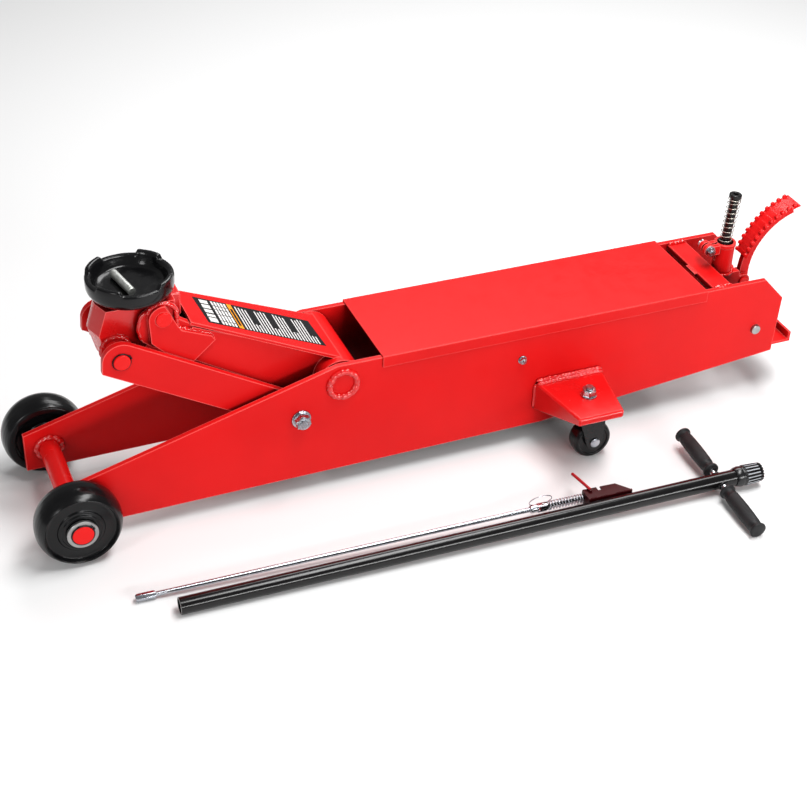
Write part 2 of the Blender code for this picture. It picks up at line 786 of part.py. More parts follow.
def saddle():
    """A shallow cup with raised lugs on its rim, on a stem that turns in the bracket."""
    rim = 0.0380
    floor = 0.0200
    lug_height = 0.0075
    cup = turned(
        [
            (0, floor),
            (0.0540, floor),
            (0.0580, floor + 0.0020),
            (0.0630, rim),
            (0.0725, rim),
            (SADDLE_R, rim - 0.001),
            (SADDLE_R, 0.0165),
            (0.0640, 0.0080),
            (0.0400, GAP),
            (0.0145, GAP),
            (0.0145, -0.0540),
            (0, -0.0540),
        ],
        "Z",
        40,
    )
    lugs = []
    for middle in (47, 137, 227, 317):
        outer = arc((0, 0), SADDLE_R - 0.0008, middle - 18, middle + 18, 6)
        inner = arc((0, 0), 0.0640, middle + 17, middle - 17, 6)
        lugs.append(flat_shape([outer + inner], rim - 0.003, rim + lug_height, "XY"))
    attach(joined(cup, *lugs), "saddle", "saddle", (SADDLE_X, 0, SADDLE_SEAT), finish="black_cast")


def saddle_pin():
    pin = cylinder(SADDLE_PIN_R, -0.0350, 0.0350, sides=16)
    at = (SADDLE_X - 0.0129, -0.0030, SADDLE_SEAT + 0.0200 + SADDLE_PIN_R + GAP)
    attach(round_edges(pin, 0.0008, 1, 60), "saddle_pin", "saddle", at, (0, 0, SADDLE_PIN_TURN), "zinc")


# Hydraulic ram --------------------------------------------------------------------------------------------
def ram_face():
    """Where the push block meets the crank's nose at rest."""
    return ARM_PIVOT.x - CRANK_R * math.sin(CRANK_REST) + CRANK_NOSE + 0.0022


def push_block():
    core = box((0, -0.036, -0.022), (0.030, 0.036, 0.024), 0.003)
    lugs = box((0.012, -0.0825, -0.010), (0.030, 0.0825, 0.010), 0.002)
    block = joined(solid(core), solid(lugs))
    attach(block, "push_block", "ram", (ram_face(), 0, RAM_Z), finish="bright_steel")


def piston_rod():
    rod = cylinder(ROD_R, 0.0303, 0.4400, "X", sides=28)
    attach(rod, "piston_rod", "ram", (ram_face(), 0, RAM_Z), finish="bright_steel")


# Pump drive: yoke, socket, pedal and plunger --------------------------------------------------------------
def nose_at():
    lean = math.radians(20)
    return (0.038 * math.sin(lean), -0.038 * math.cos(lean))


def handle_yoke():
    """A thick bar that rocks on the rear shaft. Its lower nose drives the pump plunger."""
    top = SOCKET_Z[0] - GAP - REAR_SHAFT.z
    nose = nose_at()
    rear = [(0.0235, 0.0), (0.006, top - 0.012), (0.003, top)]
    outline = [(-0.052, top), (-0.052, top - 0.016), (-0.0235, 0.0), *rear]
    bar = flat_shape([outline], -0.015, 0.015)
    boss = cylinder(0.0240, -0.030, 0.030, sides=28)
    foot = [(-0.0075, 0.0), (nose[0] - 0.0075, nose[1]), (nose[0] + 0.0115, nose[1]), (0.0200, 0.0)]
    web = flat_shape([foot], -0.012, 0.012)
    nose_round = cylinder(0.0120, -0.012, 0.012, at=(nose[0], 0, nose[1]), sides=20)
    pin_at = (PEDAL_PIN.x - REAR_SHAFT.x, 0, PEDAL_PIN.z - REAR_SHAFT.z)
    ear = cylinder(0.0145, -0.015, 0.015, at=pin_at, sides=24)
    slot = box((-0.0005, -0.0068, pin_at[2] - 0.018), (0.05, 0.0068, top + 0.01))
    shaft_bore = cylinder(REAR_SHAFT_R + GAP, -0.05, 0.05, sides=20)
    pin_bore = cylinder(0.0060 + GAP, -0.05, 0.05, at=pin_at, sides=16)
    yoke = cut(joined(bar, boss, web, nose_round, ear), slot, shaft_bore, pin_bore)
    attach(yoke, "handle_yoke", "handle_yoke", REAR_SHAFT)


def ear_place():
    """The pinch bolt's axis, from the foot of the socket."""
    return (1.2695 - SOCKET_X, 0.2885 - SOCKET_Z[0])


def handle_socket():
    """An upright tube with a flared lip, split at the front between two pinch ears."""
    height = SOCKET_Z[1] - SOCKET_Z[0]
    profile = [
        (SOCKET_R, height),
        (SOCKET_R + 0.0014, height - 0.0010),
        (SOCKET_R + 0.0014, height - 0.0070),
        (SOCKET_R, height - 0.0090),
        (SOCKET_R, 0.0),
        (SOCKET_BORE, 0.0),
        (SOCKET_BORE, height - 0.0010),
        (SOCKET_BORE + 0.0012, height),
    ]
    tube = turned(profile, "Z", 24, ring=True)
    ear_x, ear_z = ear_place()
    ears = cylinder(0.0115, -0.0115, 0.0115, at=(ear_x, 0, ear_z), sides=24)
    neck = box((ear_x, -0.0115, ear_z - 0.0115), (-SOCKET_R + 0.0025, 0.0115, ear_z + 0.0070))
    slit = box((-0.08, -0.0022, 0.026), (-0.010, 0.0022, height + 0.02))
    bolt_bore = cylinder(0.0043, -0.05, 0.05, at=(ear_x, 0, ear_z), sides=14)
    socket = cut(joined(tube, ears, neck), slit, bolt_bore)
    attach(socket, "handle_socket", "handle_yoke", (SOCKET_X, 0, SOCKET_Z[0]))


def pinch_bolt():
    face = 0.0118
    shank = cylinder(0.0040, -0.0200, 0.0225, sides=14)
    head = hex_prism(0.0135, -face - 0.0080, -face)
    nut = hex_prism(0.0135, face, face + 0.0070)
    ear_x, ear_z = ear_place()
    bolt = joined(shank, head, nut)
    attach(bolt, "pinch_bolt", "handle_yoke", (SOCKET_X + ear_x, 0, SOCKET_Z[0] + ear_z), finish="zinc")


def pedal_pin():
    pin = cylinder(0.0060, -0.0175, 0.0185, sides=16)
    head = cylinder(0.0085, -0.0185, -0.0153, sides=20)
    attach(joined(pin, head), "pedal_pin", "handle_yoke", PEDAL_PIN, finish="red_paint")


def release_rod():
    """The release shaft, with a cap whose recess takes the handle's inner rod."""
    cap = RELEASE_LENGTH - 0.0115
    profile = [
        (0, RELEASE_LENGTH - 0.0050),
        (0.0050, RELEASE_LENGTH - 0.0050),
        (0.0050, RELEASE_LENGTH),
        (0.0112, RELEASE_LENGTH),
        (0.0123, RELEASE_LENGTH - 0.0012),
        (0.0123, cap + 0.0008),
        (0.0115, cap),
        (RELEASE_R, cap),
        (RELEASE_R, 0),
        (0, 0),
    ]
    rod = turned(profile, "Z", 24)
    attach(rod, "release_rod", "release_rod", RELEASE_FOOT, (0, RELEASE_LEAN, 0), "black_paint")


def release_spring():
    length = RELEASE_LENGTH - 0.0115 - 0.0030
    coil = tube_along(helix(0.0109, 11, length - 0.0020, 7, "Z"), 0.0009, 1)
    coil = moved(coil, (0, 0, 0.0010))
    attach(coil, "release_spring", "handle_yoke", RELEASE_FOOT, (0, RELEASE_LEAN, 0), "spring_steel")


def foot_pedal():
    """A flat bar on edge, curved up and back from its pin."""
    centre = (PEDAL_CENTRE[0] - PEDAL_PIN.x, PEDAL_CENTRE[1] - PEDAL_PIN.z)
    outline = arc(centre, PEDAL_R[1], 186, 108, 16) + arc(centre, PEDAL_R[0], 108, 186, 16)
    band = flat_shape([outline], -0.0060, 0.0060)
    boss = cylinder(0.0135, -0.0060, 0.0060, sides=24)
    bore = cylinder(0.0060 + GAP, -0.03, 0.03, sides=16)
    attach(cut(joined(band, boss), bore), "foot_pedal", "foot_pedal", PEDAL_PIN)


def pedal_tread():
    """A saw-edged plate wrapped over the outside of the pedal's curve."""
    teeth = 10
    per_tooth = 4
    rows = teeth * per_tooth
    radius = PEDAL_R[1] + GAP
    thickness = 0.0036
    shape = bmesh.new()
    bmesh.ops.create_grid(shape, x_segments=rows, y_segments=1, size=0.5)
    for corner in shape.verts:
        row = round((corner.co.x + 0.5) * rows)
        along = row / rows
        angle = math.radians(165.0 + (107.5 - 165.0) * along)
        tooth = (row % per_tooth) / per_tooth
        half = 0.0178 + 0.0036 * along + 0.0022 * tooth
        side = 1 if corner.co.y > 0 else -1
        corner.co = (
            PEDAL_CENTRE[0] - PEDAL_PIN.x + radius * math.cos(angle),
            side * half,
            PEDAL_CENTRE[1] - PEDAL_PIN.z + radius * math.sin(angle),
        )
    bmesh.ops.recalc_face_normals(shape, faces=shape.faces)
    mesh = bpy.data.meshes.new("tread")
    shape.to_mesh(mesh)
    shape.free()
    tread = as_object(mesh)
    outward = mesh.polygons[0].normal.x < 0
    skin = tread.modifiers.new("thickness", "SOLIDIFY")
    skin.thickness = thickness
    skin.offset = 1 if outward else -1
    attach(solid(tread), "pedal_tread", "foot_pedal", PEDAL_PIN)


def pump_plunger():
    end = REAR_SHAFT.x + nose_at()[0] - 0.0120 - 0.0005
    plunger = cylinder(0.0100, 0.0, end - 1.130, "X", sides=20)
    attach(plunger, "pump_plunger", "pump_plunger", (1.130, 0, PLUNGER_Z), finish="bright_steel")


# Handle, lying on the floor. Its body's frame has +X along the tube ---------------------------------------
def handle_tube():
    tube = ring(TUBE_R - 0.0022, TUBE_R, 0.0, TUBE_LENGTH, 32, "X")
    cross = cylinder(0.0060 + GAP, -0.05, 0.05, at=(TEE_AT, 0, 0), sides=16)
    middle = Matrix.Translation((TEE_AT, 0, 0))
    cross.data.transform(middle @ euler((TEE_TILT, 0, 0)) @ middle.inverted())
    attach(cut(tube, cross), "handle_tube", "handle", finish="black_paint", local=True)


def tee_bar():
    bar = cylinder(0.0060, -TEE_HALF + 0.004, TEE_HALF - 0.004, sides=16)
    attach(bar, "tee_bar", "handle", (TEE_AT, 0, 0), (TEE_TILT, 0, 0), "bright_steel", local=True)


def grip(name, sign):
    """A moulded grip with a flange at each end, closed at its outer end."""
    start, end = GRIP_START, TEE_HALF
    profile = [
        (0, end),
        (0.0145, end),
        (0.0153, end - 0.0010),
        (0.0153, end - 0.0050),
        (0.0125, end - 0.0065),
        (0.0128, end - 0.0250),
        (0.0137, (start + end) / 2),
        (0.0125, start + 0.0220),
        (0.0122, start + 0.0065),
        (0.0148, start + 0.0050),
        (0.0148, start + 0.0006),
        (0.0140, start),
        (0.0060 + GAP, start),
        (0.0060 + GAP, end - 0.0037),
        (0, end - 0.0037),
    ]
    shape = turned(profile, "Y", 18)
    turn = (TEE_TILT, 0, 0) if sign > 0 else (math.pi + TEE_TILT, 0, 0)
    attach(shape, name, "handle", (TEE_AT, 0, 0), turn, "black_rubber", local=True)


def lever_bracket():
    """A folded plate on the tube's far side that carries the release linkage."""
    strip = box((0.7520, TUBE_R + GAP, -0.0040), (0.8380, TUBE_R + 0.0035, 0.0130))
    shelf_outline = [(0.7520, 0.0160), (0.8380, 0.0160), (0.8160, 0.0420), (0.7520, 0.0440)]
    shelf = flat_shape([shelf_outline], 0.0100, 0.0130, "XY")
    ear = box((0.7520, TUBE_R + 0.0010, -0.0120), (0.7560, 0.0440, 0.0130))
    notch = box((0.7790, 0.0340, 0.0), (0.7860, 0.0500, 0.0200))
    rod_hole = cylinder(0.0040, -0.05, 0.05, "X", LINKAGE_AT, 16)
    pin_hole = cylinder(0.0033, -0.03, 0.03, "Z", (0.7640, 0.0350, 0.0100), 12)
    bracket = cut(joined(strip, shelf, ear), notch, rod_hole, pin_hole)
    attach(bracket, "lever_bracket", "handle", finish="maroon_paint", local=True)


def release_knob():
    """A fluted knob on the tube's end, with a plain skirt."""
    skirt = turned(
        [(0, 0.0250), (0.0165, 0.0250), (0.0192, 0.0220), (0.0192, 0.0060), (0.0170, GAP), (0, GAP)], "X", 28
    )
    flutes = 18
    outline = []
    for i in range(flutes):
        for step, radius in ((0.0, 0.0156), (0.25, 0.0172), (0.75, 0.0172)):
            angle = 2 * math.pi * (i + step) / flutes
            outline.append((radius * math.cos(angle), radius * math.sin(angle)))
    fluted = flat_shape([outline], 0.0240, 0.0560, "YZ")
    knob = joined(skirt, fluted)
    attach(knob, "release_knob", "release_knob", finish="black_plastic", local=True)


def linkage_rod():
    """Hexagon tip, long rod, clevis and the thin pull rod that goes through the spring. It runs along -X."""
    tip = -0.8195
    pull = cylinder(0.0028, -0.0800, 0.0100, "X", sides=12)
    clevis = cylinder(0.0072, -0.1090, -0.0770, "X", sides=16)
    rod = cylinder(0.0045, tip + 0.030, -0.1080, "X", sides=16)
    key = moved(flat_shape([hexagon(0.0130)], 0, 0.0345, "YZ"), (tip, 0, 0))
    collar = cylinder(0.0066, -0.0785, -0.0750, "X", sides=16)
    whole = joined(rod, pull, clevis, key, collar)
    attach(whole, "linkage_rod", "linkage_rod", finish="zinc", local=True)


def rod_spring():
    coil = tube_along(helix(0.0063, 9, 0.0660, 7), 0.0009, 1)
    coil = moved(coil, (-0.0740, 0, 0))
    attach(coil, "rod_spring", "handle", LINKAGE_AT, LINKAGE_TURN, "spring_steel", local=True)


def release_lever():
    """A bent finger lever that turns on a pin in the bracket's shelf."""
    finger = tube_along([(0, 0.002, 0.0), (-0.004, 0.016, 0.0015), (-0.0155, 0.0480, 0.0070)], 0.0028)
    hub = cylinder(0.0062, -0.0029, 0.0029, "Z", sides=16)
    pin = cylinder(0.0030, -0.0080, 0.0, "Z", sides=12)
    lever = joined(hub, pin, finger)
    attach(lever, "release_lever", "release_lever", finish="red_paint", local=True)


# Bodies ---------------------------------------------------------------------------------------------------
def build():
    body("chassis")
    body("lift_arm", ARM_PIVOT, "chassis")
    body("saddle_bracket", ARM_HEAD, "lift_arm")
    body("saddle", (SADDLE_X, 0, SADDLE_SEAT), "saddle_bracket")
    body("ram", (ram_face(), 0, RAM_Z), "chassis")
    body("handle_yoke", REAR_SHAFT, "chassis")
    body("release_rod", RELEASE_FOOT, "handle_yoke", (0, RELEASE_LEAN, 0))
    body("foot_pedal", PEDAL_PIN, "handle_yoke")
    body("pump_plunger", (1.130, 0, PLUNGER_Z), "chassis")
    for side, sign in sides():
        body("front_wheel_" + side, (0, sign * (WHEEL_IN + WHEEL_OUT) / 2, WHEEL_R), "chassis")
        body("link_" + side, LINK_PIVOT, "chassis")
        body("caster_fork_" + side, (CASTER_X, sign * CASTER_Y, 0), "chassis")
        wheel_at = (CASTER_X + CASTER_TRAIL, sign * CASTER_Y, CASTER_R)
        body("caster_wheel_" + side, wheel_at, "caster_fork_" + side)

    top_cover()
    front_axle()
    arm_pivot_shaft()
    rear_crossbar()
    rear_angle()
    rear_shaft()
    pump_block()
    ram_cylinder()
    reservoir_tank()
    release_valve()
    lift_arm()
    arm_head_pin()
    saddle_bracket()
    link_pin()
    saddle()
    saddle_pin()
    push_block()
    piston_rod()
    handle_yoke()
    handle_socket()
    pinch_bolt()
    pedal_pin()
    release_rod()
    release_spring()
    foot_pedal()
    pedal_tread()
    pump_plunger()
    for side, sign in sides():
        side_plate("side_plate_" + side, sign)
        wheel_washer("wheel_washer_" + side, sign)
        link_bolt("link_bolt_" + side, sign)
        return_spring("return_spring_" + side, sign)
        caster_bracket("caster_bracket_" + side, sign)
        caster_stud("caster_stud_" + side, sign)
        front_wheel("front_wheel_" + side, sign, "front_wheel_" + side)
        caster_fork("caster_fork_" + side, sign, "caster_fork_" + side)
        caster_wheel("caster_wheel_" + side, sign, "caster_wheel_" + side)
        caster_axle("caster_axle_" + side, sign, "caster_fork_" + side)
        link_bar("link_bar_" + side, sign, "link_" + side)
    build_handle()


def build_handle():
    body("handle", TUBE_START, "chassis", (0, -TUBE_RISE, TUBE_TURN))
    handle = BODY_AT["handle"]
    for name, at, turn in (
        ("release_knob", (TUBE_LENGTH, 0, 0), (0, 0, 0)),
        ("linkage_rod", LINKAGE_AT, LINKAGE_TURN),
        ("release_lever", (0.7640, 0.0350, 0.0162), (0, 0, 0)),
    ):
        body(name, (0, 0, 0), "handle")
        BODY_AT[name] = handle @ Matrix.Translation(Vector(at)) @ euler(turn)
        bpy.data.objects["body_" + name].matrix_basis = handle.inverted() @ BODY_AT[name]
    handle_tube()
    tee_bar()
    for side, sign in sides():
        grip("grip_" + side, sign)
    lever_bracket()
    release_knob()
    linkage_rod()
    rod_spring()
    release_lever()


build()
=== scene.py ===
"""The looks of a long trolley jack and its pumping handle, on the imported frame.

Units are metres in the frame's own axes. Most places are given from the middle of the front axle on the
floor, which at() turns into the frame's axes: x runs to the handle end, y to the far side and z up.
"""

import json
from math import cos, pi, radians, sin, sqrt

import bmesh
import bpy
from mathutils import Matrix, Vector, noise

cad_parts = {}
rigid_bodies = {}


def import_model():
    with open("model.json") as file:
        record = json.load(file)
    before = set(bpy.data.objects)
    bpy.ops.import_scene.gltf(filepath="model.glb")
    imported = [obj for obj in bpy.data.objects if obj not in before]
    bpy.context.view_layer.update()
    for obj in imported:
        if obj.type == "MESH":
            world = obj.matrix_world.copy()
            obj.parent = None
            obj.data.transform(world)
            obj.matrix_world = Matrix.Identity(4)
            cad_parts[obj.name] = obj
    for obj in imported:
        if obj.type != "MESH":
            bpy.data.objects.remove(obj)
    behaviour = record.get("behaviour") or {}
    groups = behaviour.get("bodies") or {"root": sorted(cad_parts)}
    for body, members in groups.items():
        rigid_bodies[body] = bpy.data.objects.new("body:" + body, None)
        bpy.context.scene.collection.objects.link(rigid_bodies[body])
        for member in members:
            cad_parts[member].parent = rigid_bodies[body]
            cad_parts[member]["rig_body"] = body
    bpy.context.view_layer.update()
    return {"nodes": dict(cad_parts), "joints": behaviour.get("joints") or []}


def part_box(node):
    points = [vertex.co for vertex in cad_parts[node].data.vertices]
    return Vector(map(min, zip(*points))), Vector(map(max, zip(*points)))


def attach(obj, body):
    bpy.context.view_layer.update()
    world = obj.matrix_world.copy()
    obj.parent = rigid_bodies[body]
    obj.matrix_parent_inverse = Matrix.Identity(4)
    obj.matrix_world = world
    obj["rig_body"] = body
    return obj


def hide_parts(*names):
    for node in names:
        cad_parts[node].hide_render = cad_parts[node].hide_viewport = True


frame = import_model()
JOINTS = {joint["name"]: joint for joint in frame["joints"]}
SIDES = (("left", -1), ("right", 1))


def middle(node):
    low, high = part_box(node)
    return (low + high) / 2


def half_size(node):
    low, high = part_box(node)
    return (high - low) / 2


AXLE = middle("front_axle")
START = Vector((AXLE.x, AXLE.y, 0))


def at(x, y, z):
    """A point from the middle of the front axle on the floor."""
    return START + Vector((x, y, z))


def pivot(joint):
    return Vector(JOINTS[joint]["pos_m"])


def reach_of(node):
    """How far a node's near and far side are from the jack's middle plane."""
    return sorted(abs(corner.y - AXLE.y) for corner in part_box(node))


# Materials
class Nodes:
    """A material's node tree, with short calls to add and join nodes."""

    def __init__(self, name):
        self.material = bpy.data.materials.new(name)
        self.material.use_nodes = True
        self.tree = self.material.node_tree
        self.shader = self.tree.nodes["Principled BSDF"]
        self.where = self.add("ShaderNodeTexCoord").outputs["Object"]

    def add(self, kind, **settings):
        node = self.tree.nodes.new(kind)
        for key, value in settings.items():
            if key in node.inputs:
                node.inputs[key].default_value = value
            else:
                setattr(node, key.lower(), value)
        return node

    def join(self, source, target):
        self.tree.links.new(source, target)

    def noise(self, scale, detail=2, roughness=0.5, stretch=(1, 1, 1)):
        place = self.add("ShaderNodeMapping", Scale=stretch)
        self.join(self.where, place.inputs["Vector"])
        texture = self.add("ShaderNodeTexNoise", Scale=scale, Detail=detail, Roughness=roughness)
        self.join(place.outputs["Vector"], texture.inputs["Vector"])
        return texture.outputs["Fac"]

    def spread(self, value, low, high, out_low=0, out_high=1):
        ends = {"From Min": low, "From Max": high, "To Min": out_low, "To Max": out_high}
        ranged = self.add("ShaderNodeMapRange", **ends)
        self.join(value, ranged.inputs["Value"])
        return ranged.outputs["Result"]

    def mixed(self, amount, first, second):
        mix = self.add("ShaderNodeMix", data_type="RGBA")
        mix.inputs[6].default_value = (*first, 1)
        mix.inputs[7].default_value = (*second, 1)
        self.join(amount, mix.inputs[0])
        return mix.outputs[2]

    def edge_highlighted(self, paint, bright):
        """Painted highlight: the paint, brighter where the surface turns within 3 mm, as on edges catching
        the light.
        """
        rounded = self.add("ShaderNodeBevel", Radius=0.003)
        rounded.samples = 6
        turn = self.add("ShaderNodeVectorMath", operation="DOT_PRODUCT")
        self.join(rounded.outputs["Normal"], turn.inputs[0])
        self.join(self.add("ShaderNodeNewGeometry").outputs["True Normal"], turn.inputs[1])
        flat = self.spread(turn.outputs["Value"], 0.9, 0.995)
        mix = self.mixed(flat, bright, bright)
        self.join(paint, mix.node.inputs[7])
        return mix

    def bump(self, height, strength, distance=0.001, under=None):
        bump = self.add("ShaderNodeBump", Strength=strength, Distance=distance)
        self.join(height, bump.inputs["Height"])
        if under is not None:
            self.join(under, bump.inputs["Normal"])
        return bump.outputs["Normal"]

    def set(self, **values):
        """Shader inputs: another node's output is joined on, anything else is the input's own value."""
        for key, value in values.items():
            target = self.shader.inputs[key.replace("_", " ")]
            if isinstance(value, bpy.types.NodeSocket):
                self.join(value, target)
            else:
                target.default_value = value


def painted(name, colour, dark, roughness, gleam=0.2, coat=0, peel=0.25, peel_scale=320, wear_and_painted_light=False):
    """A sprayed finish: slow colour drift, uneven gloss and the fine ripple of the coat. With its last flag
    set, painted shade darkens deep recesses that ambient occlusion finds, and a painted highlight brightens
    edges."""
    made = Nodes(name)
    drift = made.spread(made.noise(6, 3), 0.35, 0.65)
    paint = made.mixed(drift, dark, colour)
    if wear_and_painted_light:
        # Painted shade: where ambient occlusion finds a recess, the red runs to a near-black red.
        cover = made.add("ShaderNodeAmbientOcclusion", Distance=0.2)
        cover.samples = 12
        thin = made.spread(cover.outputs["AO"], 0.16, 0.5)
        shaded_paint = made.mixed(thin, PAINTED_SHADE_RED, PAINTED_SHADE_RED)
        made.join(paint, shaded_paint.node.inputs[7])
        # Painted highlight on edges.
        paint = made.edge_highlighted(shaded_paint, PAINTED_EDGE_HIGHLIGHT)
    gloss = made.spread(made.noise(40, 4, 0.6), 0.3, 0.7, roughness * 0.85, roughness * 1.2)
    broad = made.bump(made.noise(60, 2), 0.1, 0.0008)
    fine = made.bump(made.noise(peel_scale, 1.5), peel, 0.0003, broad)
    made.set(Base_Color=paint, Roughness=gloss, Normal=fine)
    made.set(Specular_IOR_Level=gleam, Coat_Weight=coat, Coat_Roughness=0.1)
    return made.material


def cast(name, colour, roughness, grain, gleam, coat):
    """A painted casting: the grain of the sand mould under a glossy coat."""
    made = Nodes(name)
    blotch = made.spread(made.noise(35, 4), 0.35, 0.7)
    lighter = tuple(min(1, c * 1.25 + 0.001) for c in colour)
    gloss = made.spread(made.noise(90, 3), 0.3, 0.75, roughness * 0.7, roughness * 1.5)
    lumps = made.bump(made.noise(110, 3), grain * 0.7, 0.0012)
    fine = made.bump(made.noise(420, 4), grain, 0.0005, lumps)
    made.set(Base_Color=made.mixed(blotch, colour, lighter), Roughness=gloss, Normal=fine)
    made.set(Specular_IOR_Level=gleam, Coat_Weight=coat, Coat_Roughness=0.06)
    return made.material


def metal(name, colour, tint, roughness, brushed=(1, 1, 1), marks=0.05):
    """Plated or ground steel: faint blotches and fine marks along one way."""
    made = Nodes(name)
    blotch = made.spread(made.noise(70, 3), 0.35, 0.65)
    gloss = made.spread(made.noise(160, 3, 0.5, brushed), 0.3, 0.7, roughness * 0.75, roughness * 1.35)
    scratches = made.bump(made.noise(700, 2, 0.5, brushed), marks, 0.0002)
    made.set(Base_Color=made.mixed(blotch, colour, tint), Roughness=gloss, Normal=scratches, Metallic=1)
    return made.material


def moulded(name, colour, roughness, grain, grain_scale, gleam):
    """Moulded rubber or plastic with a fine grain."""
    made = Nodes(name)
    wear_and_painted_light = tuple(c * 1.7 + 0.002 for c in colour)
    haze = made.spread(made.noise(28, 3), 0.45, 0.8)
    gloss = made.spread(made.noise(60, 3), 0.3, 0.7, roughness * 0.85, roughness * 1.15)
    fine = made.bump(made.noise(grain_scale, 2), grain, 0.0004)
    paint = made.mixed(haze, colour, wear_and_painted_light)
    made.set(Base_Color=paint, Roughness=gloss, Normal=fine, Specular_IOR_Level=gleam)
    return made.material


def printed(name, colour, roughness):
    made = Nodes(name)
    print_tone = made.mixed(made.noise(300), colour, tuple(c * 0.92 for c in colour))
    fine = made.bump(made.noise(500), 0.05, 0.0002)
    made.set(Base_Color=print_tone, Roughness=roughness, Normal=fine, Specular_IOR_Level=0.12)
    return made.material


# Colours for painted shade in recesses and for painted highlights on edges.
PAINTED_SHADE_RED = (0.05, 0.0004, 0.0005)
PAINTED_EDGE_HIGHLIGHT = (0.9, 0.13, 0.12)
# The body red carries painted shade in recesses and painted highlights on edges.
RED = painted("red powder coat", (0.66, 0.006, 0.0064), (0.6, 0.0052, 0.0056), 0.36, 0.14, 0, 0.16, wear_and_painted_light=True)
RED_WELD = painted(
    "red paint on weld", (0.64, 0.0064, 0.0068), (0.54, 0.005, 0.0054), 0.17, 0.5, 0.5, 0.1, 260
)
RED_TREAD = cast("red painted pressing", (0.56, 0.0052, 0.0056), 0.28, 0.1, 0.14, 0.04)
# Red for pins, lighter than the body red: painted light, standing in for the brighter light on the axle.
RED_PIN = painted("red on pins lightened as painted light", (0.78, 0.009, 0.0085), (0.7, 0.008, 0.0075), 0.24, 0.16, 0, 0.1)
RED_DIP = painted("red dipped lever", (0.34, 0.0035, 0.008), (0.26, 0.0025, 0.006), 0.32, 0.2)
MAROON = painted("dark maroon paint", (0.038, 0.0012, 0.0022), (0.02, 0.0008, 0.0014), 0.36, 0.14)
BLACK_TUBE = painted(
    "black powder coat", (0.004, 0.0036, 0.0038), (0.0026, 0.0023, 0.0025), 0.17, 0.34, 0, 0.05, 500
)
BLACK_STEEL = painted(
    "black painted steel", (0.0055, 0.0055, 0.006), (0.004, 0.004, 0.0045), 0.28, 0.3, 0, 0.12
)
BLACK_CAST = cast("black painted casting", (0.003, 0.003, 0.0034), 0.16, 0.22, 0.22, 0.12)
WHEEL = moulded("black wheel", (0.003, 0.003, 0.0034), 0.21, 0.05, 700, 0.26)
# Pale grey for the strips on the knob's lands: a painted highlight.
KNOB_LAND_HIGHLIGHT = moulded("painted highlight on knob lands", (0.26, 0.27, 0.29), 0.3, 0.05, 700, 0.5)
RUBBER = moulded("moulded grip rubber", (0.011, 0.0112, 0.012), 0.5, 0.35, 1100, 0.22)
KNOB = moulded("black moulded knob", (0.005, 0.005, 0.0056), 0.22, 0.06, 800, 0.45)
ZINC = metal("bright zinc plate", (0.5, 0.51, 0.54), (0.36, 0.38, 0.42), 0.22)
ZINC_DULL = metal("dull zinc plate", (0.42, 0.42, 0.41), (0.32, 0.32, 0.32), 0.36)
STEEL = metal("ground steel", (0.6, 0.61, 0.63), (0.5, 0.51, 0.53), 0.22, (0.1, 1, 1))
PIN_STEEL = metal("worn bright pin", (0.72, 0.73, 0.7), (0.6, 0.62, 0.58), 0.44)
SPRING = metal("spring wire", (0.6, 0.57, 0.5), (0.45, 0.42, 0.36), 0.3)
SPRING_BRIGHT = metal("bright spring wire", (0.55, 0.55, 0.59), (0.4, 0.4, 0.44), 0.26)
# The glossy red also carries painted shade in recesses and painted highlights on edges.
RED_GLOSS = painted(
    "glossy red paint", (0.66, 0.0062, 0.0066), (0.6, 0.0054, 0.0058), 0.24, 0.4, 0.2, 0.12, wear_and_painted_light=True
)
SNAP_RING = metal("black oxide", (0.03, 0.03, 0.032), (0.018, 0.018, 0.02), 0.35)
LABEL_BLACK = printed("label black", (0.012, 0.012, 0.013), 0.3)
LABEL_WHITE = printed("label light", (0.72, 0.7, 0.69), 0.35)
LABEL_ORANGE = printed("label orange", (0.8, 0.3, 0.015), 0.35)


# Shapes
def added(name, data):
    """A new object in the scene."""
    made = bpy.data.objects.new(name, data)
    bpy.context.scene.collection.objects.link(made)
    return made


def finish_piece(name, shape, finish, crease=32):
    """Makes a bmesh into a smooth-shaded object with sharp edges above the crease angle."""
    bmesh.ops.recalc_face_normals(shape, faces=shape.faces)
    mesh = bpy.data.meshes.new(name)
    shape.to_mesh(mesh)
    shape.free()
    mesh.shade_smooth()
    mesh.set_sharp_from_angle(angle=radians(crease))
    mesh.materials.append(finish)
    piece = added(name, mesh)
    return piece


def dress(node, finish, width, segments=3):
    """A CAD node's own shape with its flat faces made whole and its edges rounded, in a new finish."""
    source = frame["nodes"][node]
    shape = bmesh.new()
    shape.from_mesh(source.data)
    bmesh.ops.remove_doubles(shape, verts=shape.verts, dist=2e-6)
    bmesh.ops.dissolve_limit(
        shape, angle_limit=radians(0.6), verts=shape.verts, edges=shape.edges, use_dissolve_boundaries=False
    )
    piece = finish_piece(node + "_skin", shape, finish, 180)
    edge = piece.modifiers.new("edges", "BEVEL")
    edge.width = width
    edge.segments = segments
    edge.limit_method = "ANGLE"
    edge.angle_limit = radians(28)
    edge.miter_outer = "MITER_ARC"
    edge.use_clamp_overlap = True
    normals = piece.modifiers.new("normals", "WEIGHTED_NORMAL")
    normals.keep_sharp = True
    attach(piece, source["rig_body"])
    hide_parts(node)


def swap(piece, node):
    """A new piece takes a CAD node's place."""
    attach(piece, frame["nodes"][node]["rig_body"])
    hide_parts(node)


def across(axis):
    """Two unit vectors square to an axis."""
    axis = Vector(axis).normalized()
    side = axis.cross(Vector((0, 0, 1)) if abs(axis.z) < 0.9 else Vector((1, 0, 0))).normalized()
    return side, axis.cross(side)


def toward(side, up, angle):
    """The unit vector at an angle from side towards up."""
    return side * cos(angle) + up * sin(angle)


def beside(place, out):
    """A point level with a place, and out from the jack's middle plane."""
    return Vector((place.x, AXLE.y + out, place.z))


def mirrored(profile):
    """A profile's upper half and its mirror image."""
    return profile + [(r, -h) for r, h in reversed(profile)]


